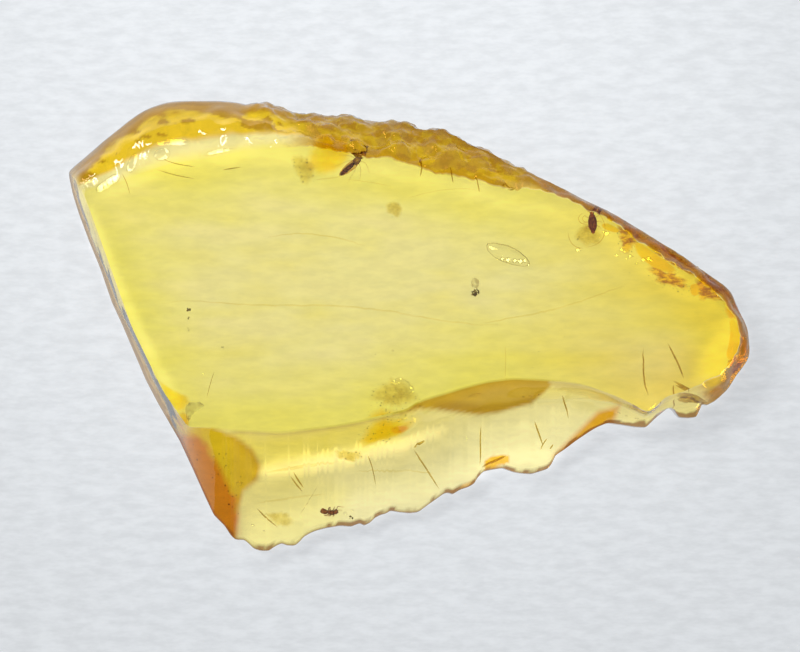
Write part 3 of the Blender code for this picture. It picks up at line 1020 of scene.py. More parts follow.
        rings = []
        runs = []
        foot = outer + inwards * tuck[:, None]
        rings.append(np.column_stack((foot + inwards * self.cap_inset, np.zeros(len(foot)))))
        runs.append(0.0)
        for step in range(self.wall_rings):
            share = step / self.wall_rings
            low = np.maximum(0.0, 1.0 - share / self.widest_share) ** 2
            high = np.maximum(0.0, (share - self.widest_share) / (1.0 - self.widest_share)) ** 2
            shift = tuck * (low + self.lean_share * high)
            rings.append(np.column_stack((outer + inwards * shift[:, None], wall * share)))
            runs.append(0.0)
        for step in range(self.surface_rings + 1):
            run = step / self.surface_rings
            lean = tuck * self.lean_share * (1.0 - run)
            calm = (broken * smooth_step(run / self.calm_share))[:, None]
            edge = outer + (calm_outer - outer) * calm
            flat = edge + (inner - edge) * run + inwards * lean[:, None]
            height = wall + (THICKNESS - wall) * self.climb(
                np.full_like(wall, run), form, scarp, shoulder)
            swell = self.lump_gain * lumps * math.sin(math.pi * run)
            bump = swell * grain(np.column_stack((flat, height)), self.lumps_per_mm)
            flat = flat - inwards * (bump * self.lump_sideways)[:, None]
            height = np.minimum(THICKNESS, height + bump)
            rings.append(np.column_stack((flat, height)))
            runs.append(run)
        rings.append(np.column_stack(
            (inner + inwards * self.cap_inset, np.full(len(inner), THICKNESS))))
        runs.append(1.0)

        rim_points = np.stack(rings, axis=1)
        run = np.array(runs)[None, :]
        rim_points = self.roughened(rim_points, run, weathered, broken)
        rim_points = np.clip(rim_points, BOX_MM[0], BOX_MM[1])
        width = np.linalg.norm(inner - outer, axis=1)
        values = self.dressing(rim_points, run, width, *nature.T)

        share = (np.arange(1, self.face_rings + 1) / (self.face_rings + 1.0))[None, :, None]
        edge = rim_points[:, -1:]
        middle = np.array((*self.face_middle, THICKNESS))
        face = edge + (middle - edge) * share
        tint = self.face_tint(face, inner)
        rest = np.zeros(face.shape[:2])
        values["stain_and_shade"][:, -2:] = tint[:, :1]
        values["stain_and_shade"] = np.concatenate((values["stain_and_shade"], tint), axis=1)
        for name in POINT_VALUES:
            values[name] = np.concatenate((values[name], rest), axis=1)
        return np.concatenate((rim_points, face), axis=1), values

    def face_tint(self, points: np.ndarray, inner: np.ndarray) -> np.ndarray:
        """The soft changes of the resin's yellow, seen through the polished face.

        Args:
            points: Points of the face, stations by rings by 3.
            inner: The face's outline.

        Returns:
            A colour for each point.
        """
        deep = depth_inside(points[..., :2], inner[::self.outline_stride])
        x = points[..., 0]
        y = points[..., 1]
        bands = grain(points * (0.14, 0.62, 0.0) + 3.0, 1.0, 3)
        cloud = grain(points * (0.5, 0.9, 0.0) + 17.0, 0.45, 3)
        centre = rise(deep, 0.0, 6.5)
        right = rise(x, 3.0, 18.0)
        low = rise(y, 0.5, -2.5) * rise(x, 17.5, 14.5)
        blue = (0.22 + 0.78 * centre) * (1.0 - 0.95 * right * (1.0 - 0.7 * low))
        blue = blue * (1.0 + 0.45 * bands + 0.35 * cloud)
        green = 1.0 - 0.20 * right * (1.0 - centre) - 0.08 * right
        green = green + 0.05 * bands + 0.03 * cloud
        red = 0.98 + 0.03 * bands
        return np.clip(np.stack((red, green, blue), axis=-1), 0.005, 1.0)

    def roughened(self, points: np.ndarray, run: np.ndarray, weathered: np.ndarray,
                  broken: np.ndarray) -> np.ndarray:
        """Move the skin's points out and in by the fine relief that its nature gives.

        Args:
            points: Stations by rings by 3.
            run: The share of the way in to the top face, for each ring.
            weathered: How far each station is weathered.
            broken: How far each station is broken.

        Returns:
            The moved points.
        """
        along = np.roll(points, -1, axis=0) - np.roll(points, 1, axis=0)
        up = np.gradient(points, axis=1)
        normals = np.cross(up, along)
        normals /= np.maximum(np.linalg.norm(normals, axis=2), 1e-9)[..., None]
        height = points[..., 2]
        x = points[..., 0]
        rough_part = rise(x, -11.0, -8.0) * rise(x, 9.5, 5.5) * weathered[:, None]
        left = rise(x, -8.5, -10.5) * weathered[:, None]
        below = 0.25 - 0.19 * np.maximum(left, rough_part)
        free = smooth_step(height / 0.35) * smooth_step((THICKNESS - height) / below)
        coarse = grain(points, 0.9, 4)
        fine = grain(points + 40.0, 3.4, 3)
        knobs = 0.5 - cells(points * (0.85, 0.85, 0.7) + 4.0)
        plates = 0.4 - cells(points * (2.0, 2.6, 1.6))
        swells = 0.06 * grain(points + 11.0, 0.55) + 0.016 * grain(points + 15.0, 1.3)
        rugged = (0.045 * coarse + 0.010 * fine) * (1.0 - 0.8 * left) + swells * left
        rugged += rough_part * (0.34 * knobs + 0.12 * plates + 0.02 * fine)
        folds = 0.03 * grain(points * (0.6, 0.6, 0.0) + 7.0, 0.55) * np.sin(np.pi * run)
        ripples = 0.004 * coarse + folds
        shift = weathered[:, None] * rugged + broken[:, None] * ripples
        return points + normals * (free * shift)[..., None]

    def thirds(self, x: np.ndarray) -> tuple:
        """How far places belong to the left, the middle and the right of the weathered rim."""
        middle = rise(x, -8.0, -5.0) * rise(x, 7.5, 5.0)
        right = rise(x, 5.0, 8.0)
        return np.clip(1.0 - middle - right, 0.0, 1.0), middle, right

    def browned(self, points: np.ndarray, run: np.ndarray, width: np.ndarray,
                band: np.ndarray) -> np.ndarray:
        """How brown the weathered rim is: in bands, streaks and flecks.

        Args:
            points: Stations by rings by 3.
            run: The share of the way in to the top face, for each point.
            width: The rim's width at each point.
            band: How wide the brown band is at each point.

        Returns:
            A share for each point.
        """
        left, middle, right = self.thirds(points[..., 0])
        inset = run * width
        streaks = grain(points * (0.5, 1.4, 1.0) + 21.0, 0.9, 4)
        flecks = grain(points + 60.0, 1.7, 3)
        brown = smooth_step((band - inset + 0.5 * streaks * (1.0 - right)) / 0.5)
        brown = brown * (1.0 - 0.45 * middle * rise(flecks, -0.08, 0.22))
        streaked = 0.9 * left * rise(streaks, 0.06, 0.22) * rise(run, 0.66, 0.56)
        flecked = (0.62 + 0.25 * rise(flecks, 0.0, 0.3)) * middle
        inner_band = 0.9 * middle * smooth_step((0.55 - (width - inset) + 0.25 * streaks) / 0.2)
        return np.maximum.reduce((brown, streaked, flecked, inner_band))

    def dressing(self, points: np.ndarray, run: np.ndarray, width: np.ndarray,
                 weathered: np.ndarray, broken: np.ndarray, ground: np.ndarray) -> dict:
        """The stain, which also holds painted shade, and the cover and scratches of the skin's
        points.

        Args:
            points: Stations by rings by 3.
            run: The share of the way in to the top face, for each ring.
            width: The rim's width at each station.
            weathered: How far each station is weathered.
            broken: How far each station is broken.
            ground: How far each station is ground.

        Returns:
            Point values by name, the stain and painted shade with its red, green and blue last.
        """
        shape = points.shape[:2]
        plan = points[..., :2]
        weathered, broken, ground, width = (
            np.broadcast_to(v[:, None], shape) for v in (weathered, broken, ground, width))
        run = np.broadcast_to(run, shape)
        inset = run * width
        mottle = grain(points + 5.0, 1.1, 3)
        x = points[..., 0]
        left, middle, right = self.thirds(x)
        band = sum(wide * part for wide, part in zip(self.brown_bands, (left, middle, right)))
        stain_and_shade = np.ones((*shape, 3))

        def wash(amount: np.ndarray, colour: tuple) -> None:
            """Tint the stain and painted shade by a colour, as far as the amount says."""
            nonlocal stain_and_shade
            stain_and_shade = stain_and_shade * (1.0 + np.clip(amount, 0.0, 1.0)[..., None]
                             * (np.array(colour) - 1.0))

        inward = smooth_step((width - inset) / 0.12)
        wash(weathered * inward * (1.0 - left * rise(run, 0.60, 0.72)), GOLD)
        wash(weathered * left * rise(run, 0.78, 1.0), self.shoulder_tint)
        brown = self.browned(points, run, width, band) * inward
        wash(weathered * brown * (1.0 - right), self.crust_colour)
        wash(weathered * brown * right, self.rust_colour)
        wash(broken * rise(run, 1.0, 0.94), self.fracture_tint)
        # painted shade: a dark olive line along the lip, where the top face drops to the broken
        # side, stronger at the left
        lip = np.exp(-((width - inset - 0.12) / 0.15) ** 2)
        wash(broken * lip * (0.3 + 0.45 * rise(x, 0.5, -1.5)), OLIVE_GOLD)
        for patch in WASHES:
            deep = depth_inside(plan, mm(patch.outline)) + patch.ragged_mm * mottle * 2.0
            amount = smooth_step(deep / patch.soft_mm + 0.5) * patch.strength
            wash(amount * rise(run, 1.0, 0.98), patch.colour)
        narrow = 0.42 - 0.24 * rise(points[..., 1], -4.5, -6.0)
        side = ground * smooth_step((narrow - inset) / 0.14)
        wash(side, self.ground_tint)
        # painted shade: a dark, bitten band along the outer edge, for the thin edge seen on end and
        # the contact shadow beside it
        bites = smooth_step(0.5 + 1.4 * grain(points + 50.0, 1.3, 2))
        edge = smooth_step((self.edge_width + self.edge_bites * bites - inset) / 0.13)
        wash(edge * (0.95 * broken + 0.35 * weathered + 0.6 * ground), self.edge_shade_colour)

        facets = rise(grain(points + 80.0, 1.1, 2), 0.05, 0.25)
        crust = 0.03 + 0.26 * middle * facets + right * (0.18 + 0.35 * facets)
        cover = weathered * (1.0 - rise(run, 0.85, 0.95)) * crust
        cover = cover + 0.05 * edge * (broken + weathered) + 0.12 * side
        lens = smooth_step(depth_inside(plan, mm(WASHES[0].outline)) / 0.3 + 0.5)
        grime = weathered * (1.0 - left * smooth_step((inset - band) / 0.4))
        grime = np.maximum.reduce((grime, lens, edge))
        scratched = np.maximum(side, 0.7 * weathered * middle * facets)
        for values in (cover, scratched, grime):
            values[:, :2] = 0.0
            values[:, -1] = 0.0
        stain_and_shade[:, :2] = 1.0
        stain_and_shade[:, -1] = 1.0
        return {"stain_and_shade": stain_and_shade, "cover": cover, "scratched": scratched, "grime": grime}

    def build(self, finish: AmberFinish, hollows: list) -> bpy.types.Object:
        """Model the lump as a drum whose rings are carried to their places on the slab.

        Args:
            finish: The clear resin's finish.
            hollows: Closed shells that face inwards, which become air inside the lump.

        Returns:
            The finished piece.
        """
        points, values = self.skin()
        drum, station, ring = carried_drum(points)
        mesh = drum.data
        for name in POINT_VALUES:
            layer = mesh.attributes.new(name, "FLOAT", "POINT")
            layer.data.foreach_set("value", values[name][station, ring])
        layer = mesh.attributes.new("stain_and_shade", "FLOAT_COLOR", "POINT")
        rgba = np.column_stack((values["stain_and_shade"][station, ring], np.ones(len(station))))
        layer.data.foreach_set("color", rgba.ravel())
        mesh.update()
        bpy.ops.object.shade_smooth_by_angle(angle=self.crease_angle)
        for hollow in hollows:
            hollow.data.attributes.remove(hollow.data.attributes["fade"])
            for name in POINT_VALUES:
                hollow.data.attributes.new(name, "FLOAT", "POINT")
            hollow.data.attributes.new("stain_and_shade", "FLOAT_COLOR", "POINT")
            clear = np.ones(len(hollow.data.vertices) * 4)
            hollow.data.attributes["stain_and_shade"].data.foreach_set("color", clear)
        lump = joined([drum, *hollows])
        return finish_piece(lump, "clear_amber", finish.material(),
                            ("amber_lower", "amber_upper"))


# The slope at which a flat bubble under the polished face mirrors the key light upwards
GLINT_SLOPE = (0.163, -0.126)


# The same under the sloping shoulder at the upper left, and under the lip
SHOULDER_SLOPE = (0.190, -0.222)
LIP_SLOPE = (0.162, 0.254)
GLINT_HALF_THICKNESS = 0.012
# How much longer than wide a glint is
GLINT_STRETCH = 1.2


def glint(x: float, y: float, radius: float, depth: float) -> Film:
    """A tiny flat bubble that catches the light.

    Args:
        x: Its place across the photograph's frame.
        y: Its place down the photograph's frame.
        radius: Its size in pixels of that frame.
        depth: Its height above the slab's back, in millimetres.

    Returns:
        The bubble.
    """
    corners = tuple((x + radius * math.cos(turn) * GLINT_STRETCH, y + radius * math.sin(turn))
                    for turn in (0.2, 1.1, 2.2, 3.3, 4.4, 5.4))
    return Film(corners, depth, GLINT_SLOPE, GLINT_HALF_THICKNESS, ragged=0.3, segments=16,
                rings=6)


def flash(*outline: tuple, height: float = 3.78, slope: tuple = SHOULDER_SLOPE) -> Film:
    """A flat bubble under a sloping part of the skin, turned so that it catches the light.

    Args:
        outline: Its corners in the photograph's frame.
        height: Its height above the slab's back, in millimetres.
        slope: How its height changes along X and Y.

    Returns:
        The bubble.
    """
    return Film(outline, height, slope, GLINT_HALF_THICKNESS, ragged=0.12, segments=28, rings=8)


# Tiny bubbles that catch the light: the place and the size in the photograph's frame, and
# the height above the back in millimetres
GLINTS = (
    (506, 261.5, 2.6, 3.1), (513, 262.5, 2.2, 3.1), (518, 263, 2.6, 3.1), (523, 262, 2.0, 3.1),
    (500, 260.5, 1.4, 3.1), (526, 266, 1.3, 3.1), (576, 251, 2.4, 2.6), (604, 235, 2.6, 3.0),
    (601, 233.5, 1.6, 3.0), (614, 257, 1.8, 2.9), (619, 251, 1.6, 2.9), (622, 253, 1.4, 2.9),
    (628, 257.5, 2.0, 2.8), (624, 260, 1.2, 2.8), (641, 261, 2.6, 2.6), (646, 260, 2.2, 2.6),
    (649, 262, 1.6, 2.6), (634, 265, 1.3, 2.8), (712, 292, 2.6, 2.9), (715, 296, 2.0, 2.9),
    (709, 290, 1.4, 2.9), (668, 257, 1.6, 2.4), (672, 258.5, 1.3, 2.4), (696, 268, 1.6, 2.2),
    (239.5, 483, 3.4, 2.0), (393, 382, 1.6, 3.2), (399, 380, 1.3, 3.2), (409, 389, 1.6, 3.2),
    (411, 393, 1.4, 3.2), (391, 352, 0.9, 3.2), (620, 405, 1.6, 1.2), (628, 409, 1.4, 1.2),
    (638, 411, 1.5, 1.2), (522, 393, 1.6, 2.3), (529, 391, 1.3, 2.3), (537, 389, 1.4, 2.3),
    (368, 433, 1.2, 2.0), (379, 425, 1.0, 2.0), (385, 438, 1.2, 2.0), (253, 524, 1.8, 1.0),
    (264, 530, 1.3, 1.0), (345, 513, 1.8, 1.1), (352, 510, 1.2, 1.1), (203, 375, 1.1, 3.0),
)

HOLLOWS = (
    Film(((483, 245), (493, 244), (507, 247), (519, 253), (527, 262), (528, 267), (520, 268),
          (506, 265), (494, 260), (486, 252)), 2.7, (0.03, -0.05), 0.055, bow=0.10,
         ragged=0.05, wavy=0.05),
    Film(((391, 384), (399, 379), (409, 384), (412, 392), (405, 397), (395, 393)), 3.0,
         (0.04, -0.07), 0.03, bow=0.05, ragged=0.3, wavy=0.05),
    flash((80, 190), (86, 185), (97, 182), (101, 186), (93, 191), (84, 193)),
    flash((93, 195), (102, 186), (114, 178), (122, 176), (120, 184), (108, 191), (98, 197)),
    flash((126, 175), (128, 164), (134, 156), (139, 158), (137, 168), (131, 177)),
    flash((153, 160), (156, 152), (166, 151), (171, 156), (168, 163), (158, 165)),
    flash((147, 150), (160, 144), (180, 142), (191, 144), (189, 149), (165, 149)),
    flash((201, 158), (212, 154), (234, 149.5), (236, 152), (215, 158), (203, 160)),
    flash((464, 391), (467, 387), (475, 386), (478, 388), (472, 391), height=2.6,
          slope=LIP_SLOPE),
    *(glint(*spot) for spot in GLINTS),
)

GOLD_FILM = StainFinish("gold_film", (0.98, 0.74, 0.01), (1.0, 0.86, 0.06), 1.4)
GOLD_FILMS = (
    Film(((303, 151), (318, 138), (338, 137), (352, 141), (358, 150), (350, 164), (340, 175),
          (325, 180), (309, 181), (301, 170)), 2.6, bow=0.2, ragged=0.08, wavy=0.1),
    Film(((598, 225), (606, 224), (618.5, 231), (617, 235), (608, 233), (600, 230)), 2.6,
         ragged=0.05, soft=0.2),
    Film(((629, 243), (635, 241), (650, 252), (664, 262), (677, 271), (672, 275), (658, 274),
          (646, 266), (634, 256)), 2.5, ragged=0.05, soft=0.2),
    Film(((686, 286), (693, 284), (701, 283), (704, 288), (697, 296), (689, 299)), 2.4,
         ragged=0.08, soft=0.2),
    Film(((726, 316), (734, 317), (742, 345), (740, 361), (731, 366), (722, 360), (726, 345),
          (728, 330)), 2.4, ragged=0.05, soft=0.2),
    Film(((156, 378), (166, 385), (178, 392), (190, 397), (193, 404), (188, 411), (181, 418),
          (172, 412), (162, 396)), 2.4, ragged=0.15, wavy=0.1),
    Film(((372, 404), (392, 409), (414, 413), (413, 420), (404, 432), (388, 439), (370, 443),
          (357, 448), (353, 441), (360, 424)), 2.5, ragged=0.1, wavy=0.1),
)
ORANGE_FILM = StainFinish("orange_film", (0.94, 0.58, 0.01), (0.98, 0.78, 0.06), 0.6)
ORANGE_FILMS = (
    Film(((386, 424), (395, 421), (406, 422), (408, 428), (401, 433), (391, 434)), 2.9,
         ragged=0.15),
    Film(((175, 415), (182, 410), (190, 416), (190, 430), (186, 436), (179, 426)), 2.7,
         ragged=0.15),
    Film(((718, 302), (728, 303), (736, 312), (739, 322), (731, 323), (722, 316)), 2.9,
         ragged=0.35),
)
OLIVE_FILM = StainFinish("olive_film", (0.66, 0.54, 0.18), (0.95, 0.88, 0.55), 0.65,
                         share=(0.28, 0.75))
OLIVE_FILMS = (
    Film(((288, 160), (296, 155), (308, 156), (315, 165), (316, 178), (311, 187), (303, 189),
          (296, 180), (290, 172)), 2.9, ragged=0.2),
    Film(((378, 384), (392, 376), (408, 378), (418, 389), (421, 402), (405, 409), (385, 409),
          (369, 404), (366, 394)), 2.4, ragged=0.2),
    Film(((328, 449), (340, 446), (355, 447), (365, 454), (358, 461), (345, 461),
          (334, 456)), 2.2, ragged=0.25),
    Film(((383, 204), (394, 201), (402, 207), (402, 217), (394, 221), (384, 215)), 2.4,
         ragged=0.25),
    Film(((577, 224), (588, 221), (600, 226), (604, 238), (597, 248), (584, 250), (574, 243),
          (572, 232)), 1.6, ragged=0.2),
    Film(((262, 512), (275, 507), (290, 510), (296, 522), (286, 527), (270, 524)), 1.0,
         ragged=0.25),
)
RUST_FILM = StainFinish("rust_film", (0.50, 0.22, 0.01), (0.98, 0.72, 0.05), 0.30,
                        share=(0.36, 0.60), stretch=(0.6, 1.5, 1.0))
RUST_FILMS = (
    Film(((612, 222), (626, 228), (640, 239), (634, 246), (628, 257), (620, 257),
          (617, 243)), 2.9, ragged=0.3, wavy=0.1),
    Film(((640, 262), (655, 270), (672, 273), (686, 280), (690, 290), (680, 293), (664, 287),
          (650, 283)), 2.7, ragged=0.4, wavy=0.1),
    Film(((684, 275), (700, 277), (714, 287), (728, 300), (722, 306), (706, 300), (698, 305),
          (690, 300), (698, 290)), 2.8, ragged=0.35, wavy=0.1),
    Film(((640, 240), (660, 250), (684, 266), (704, 280), (698, 283), (678, 272), (660, 261),
          (644, 250)), 3.0, ragged=0.3),
    Film(((723, 360), (733, 358), (739, 365), (734, 374), (725, 374)), 2.9, ragged=0.2,
         soft=0.25),
)

CRACK_FINISH = StainFinish("crack_stain", (0.46, 0.33, 0.06), (0.74, 0.60, 0.24), 0.5)
CRACKS = (
    Seam(((480, 424), (479, 440), (480, 455), (479, 468)), (2.2, 1.1), 1.4, 0.05, 0.05),
    Seam(((480, 468), (488, 463), (498, 459), (507, 455)), (1.2, 1.3), 1.0, 0.10, 0.05),
    Seam(((411, 446), (424, 466), (432, 478), (440, 491)), (1.6, 0.9), 1.0, 0.05, 0.03),
    Seam(((411, 446), (417, 442), (424, 438)), (1.6, 1.7), 0.7, 0.05, 0.03),
    Seam(((533, 420), (538, 434), (543, 447)), (2.0, 1.3), 0.9, 0.06, 0.04),
    Seam(((547, 438), (542, 444), (540, 450)), (1.5, 1.2), 0.6, 0.08, 0.04),
    Seam(((549, 449), (553, 444)), (1.2, 1.2), 0.5, 0.06, 0.05),
    Seam(((291, 468), (297, 478), (303, 487)), (1.8, 1.4), 0.9, 0.04, 0.025),
    Seam(((288, 473), (294, 481), (302, 491)), (1.8, 1.4), 0.8, 0.04, 0.02),
    Seam(((664, 343), (671, 356), (677, 368), (682, 381)), (3.4, 2.6), 1.2, 0.05, 0.03),
    Seam(((640, 348), (641, 365), (642, 383), (646, 398)), (3.2, 2.6), 0.9, 0.06, 0.03, 0.05),
    Seam(((669, 381), (684, 389), (698, 398), (708, 404)), (3.0, 2.2), 1.3, 0.14, 0.04),
    Seam(((672, 385), (686, 392), (697, 399)), (2.4, 2.0), 0.8, 0.10, 0.03),
    Seam(((671, 385), (671, 392), (673, 399)), (2.4, 1.8), 0.9, 0.05, 0.03),
    Seam(((560, 392), (564, 404), (568, 420)), (2.6, 1.8), 0.6, 0.04, 0.02, 0.04),
    Seam(((365, 450), (372, 466), (375, 486)), (1.8, 1.0), 0.5, 0.04, 0.018),
    Seam(((206, 400), (210, 384), (214, 372)), (3.4, 3.6), 0.7, 0.03, 0.02),
    Seam(((256, 506), (266, 517), (278, 527)), (1.2, 0.9), 0.5, 0.05, 0.02),
    Seam(((318, 482), (308, 500), (298, 514)), (1.4, 1.0), 0.4, 0.03, 0.015),
    Seam(((160, 162), (176, 167), (196, 170)), (3.7, 3.9), 0.4, 0.04, 0.02),
    Seam(((155, 172), (174, 178), (196, 182)), (3.9, 4.0), 0.3, 0.04, 0.018),
    Seam(((221, 173), (232, 171), (241, 170)), (3.9, 3.9), 0.5, 0.04, 0.03),
    Seam(((122, 176), (127, 186), (130, 198)), (3.9, 4.1), 0.4, 0.03, 0.02),
    Seam(((419, 160), (420, 170), (418, 180)), (3.6, 3.9), 0.7, 0.06, 0.05),
    Seam(((448, 170), (450, 180), (451, 186)), (3.8, 3.9), 0.5, 0.05, 0.04),
    Seam(((474, 180), (476, 188), (477, 195)), (3.8, 3.9), 0.5, 0.05, 0.04),
    Seam(((498, 186), (508, 193), (514, 190)), (3.8, 3.9), 0.6, 0.08, 0.05),
)
FLOW_FINISH = StainFinish("flow_stain", (0.94, 0.90, 0.74), (0.98, 0.96, 0.88), 1.5)
FLOW_LINES = (
    Seam(((150, 306), (190, 301), (250, 307), (330, 306), (380, 311), (420, 318), (470, 326),
          (520, 326)), (2.0, 2.2), 0.5, 0.10, 0.04, 0.05, points=60),
    Seam(((262, 240), (290, 235), (320, 236), (352, 243), (372, 252)), (2.4, 2.4), 0.4, 0.08,
         0.03, 0.05, points=40),
    Seam(((470, 326), (520, 318), (570, 306), (612, 290), (636, 282)), (2.2, 2.2), 0.4, 0.09,
         0.03, 0.06, points=50),
    Seam(((340, 181), (367, 184), (391, 188.5)), (3.2, 3.3), 0.4, 0.03, 0.03),
    Seam(((312, 182), (336, 180), (344, 176)), (3.1, 3.3), 0.5, 0.04, 0.05),
    Seam(((400, 202), (430, 193), (462, 190), (480, 193)), (3.0, 3.0), 0.3, 0.04, 0.02, 0.03),
    Seam(((503, 344), (504, 360), (503, 382)), (2.6, 2.6), 0.8, 0.03, 0.03),
    Seam(((262, 470), (300, 462), (340, 460)), (1.8, 1.8), 0.5, 0.10, 0.03),
    Seam(((252, 502), (290, 496), (330, 493)), (1.4, 1.4), 0.3, 0.08, 0.02),
    Seam(((350, 470), (400, 468), (440, 474)), (1.2, 1.2), 0.3, 0.08, 0.02, 0.05),
)
ARC_FINISH = StainFinish("arc_stain", (0.70, 0.50, 0.14), (0.88, 0.76, 0.40), 0.6)
ARCS = (
    Seam(((582, 214), (577, 217), (576, 222), (581, 226), (586, 225)), (2.6, 2.6), 0.25, 0.02,
         0.02),
    Seam(((584, 216), (580, 219), (581, 223), (586, 224)), (2.7, 2.7), 0.2, 0.02, 0.02),
    Seam(((597, 214), (602, 222), (604, 232), (600, 242), (592, 247), (582, 249)),
         (2.0, 2.0), 0.3, 0.03, 0.02, points=36),
    Seam(((566, 232), (568, 243), (575, 249), (584, 249)), (2.0, 2.0), 0.3, 0.02, 0.015),
    Seam(((596, 213), (604, 217), (610, 216)), (2.8, 2.8), 0.2, 0.02, 0.02),
)

MILK_FINISH = MilkFinish("milky_skin")
BRUISES = (
    Film(((470, 279), (477, 279), (478, 287), (474, 290), (469, 288)), 2.35, ragged=0.1,
         segments=32),
    Film(((188, 404), (200, 403), (206, 407), (198, 411), (192, 414), (191, 424), (187, 420),
          (185, 410)), 3.9, ragged=0.2, segments=32),
)

DUST_FINISH = EarthFinish("plant_dust")
DRIFTS = (
    Dust(((470, 291), (476, 289), (478, 294), (474, 298), (470, 296)), (1.9, 2.3), 34,
         (0.03, 0.10), 3),
    Dust(((186, 309), (190, 309), (190, 313), (186, 313)), (2.4, 2.6), 6, (0.03, 0.08), 4),
    Dust(((186.5, 318), (190, 318), (190, 322), (186.5, 322)), (2.4, 2.6), 5, (0.03, 0.07), 5),
    Dust(((186, 329), (190, 329), (190, 333), (186, 333)), (2.4, 2.6), 4, (0.02, 0.05), 6),
    Dust(((220, 348), (224, 348), (224, 352), (220, 352)), (2.6, 2.8), 4, (0.02, 0.05), 7),
    Dust(((288, 160), (300, 156), (314, 166), (314, 184), (304, 189), (294, 178)), (2.6, 3.2),
         46, (0.015, 0.045), 8),
    Dust(((366, 394), (380, 382), (408, 378), (420, 400), (412, 420), (390, 438), (356, 446),
          (356, 430)), (2.2, 2.9), 110, (0.012, 0.045), 9),
    Dust(((332, 450), (350, 447), (364, 454), (350, 461)), (2.0, 2.4), 34, (0.012, 0.04), 10),
    Dust(((384, 206), (398, 203), (402, 216), (390, 220)), (2.2, 2.6), 22, (0.012, 0.03), 11),
    Dust(((614, 228), (640, 244), (634, 262), (616, 256)), (2.6, 3.0), 40, (0.015, 0.04), 12),
    Dust(((644, 274), (688, 286), (700, 300), (684, 298), (652, 286)), (2.5, 2.9), 50,
         (0.015, 0.04), 13),
    Dust(((349, 514), (353, 514), (353, 519), (349, 519)), (0.9, 1.0), 5, (0.03, 0.06), 14),
    Dust(((574, 237), (579, 237), (579, 242), (574, 242)), (1.9, 2.1), 5, (0.02, 0.05), 15),
    Dust(((188, 420), (220, 440), (246, 470), (238, 520), (214, 480)), (0.9, 2.0), 60,
         (0.012, 0.05), 16),
    Dust(((120, 200), (560, 230), (700, 300), (620, 370), (300, 410), (180, 380)), (0.6, 4.0),
         46, (0.008, 0.022), 17),
)


@dataclass
class Inclusions:
    """All that is sealed in the amber besides the insects: bubbles, films, lines and dust."""

    def hollows(self) -> list:
        """Flat bubbles and air-filled cracks, as shells that face inwards."""
        return [turned_inside_out(film.shape()) for film in HOLLOWS]

    def build(self) -> None:
        """Model the stained cracks, the flow lines and the dust."""
        for name, finish, forms in (
                ("gold_films", GOLD_FILM, GOLD_FILMS), ("orange_films", ORANGE_FILM, ORANGE_FILMS),
                ("olive_films", OLIVE_FILM, OLIVE_FILMS), ("rust_films", RUST_FILM, RUST_FILMS),
                ("cracks", CRACK_FINISH, CRACKS), ("flow_lines", FLOW_FINISH, FLOW_LINES),
                ("flow_arcs", ARC_FINISH, ARCS), ("bruises", MILK_FINISH, BRUISES)):
            piece = joined([form.shape() for form in forms])
            finish_piece(piece, name, finish.material())
        dust = joined([grain_piece for drift in DRIFTS for grain_piece in drift.shape()])
        finish_piece(dust, "dust", DUST_FINISH.material())


# How finely a lobe is modelled, and how deep its rings are pinched
LOBE_SEGMENTS = 28
LOBE_BANDS = 26
RING_PINCH = 0.07


@dataclass(frozen=True)
class Lobe:
    """A rounded body part: its middle, its three radii, its turn and how far it is ringed."""

    middle: tuple
    radii: tuple
    turn: float = 0.0
    rings: int = 0

    def shape(self) -> bpy.types.Object:
        """Model the part, pinched a little at each ring."""
        def place(ball: np.ndarray) -> np.ndarray:
            """Stretch, pinch, turn and move the ball's points."""
            body = ball * np.array(self.radii)
            if self.rings:
                pinch = RING_PINCH * np.cos(ball[:, 0] * math.pi * self.rings) ** 8
                body[:, 1:] *= (1.0 - pinch)[:, None]
            cos, sin = math.cos(self.turn), math.sin(self.turn)
            spun = np.column_stack((body[:, 0] * cos - body[:, 1] * sin,
                                    body[:, 0] * sin + body[:, 1] * cos, body[:, 2]))
            return spun + np.array(self.middle)

        return carried_ball(place, LOBE_SEGMENTS, LOBE_BANDS)


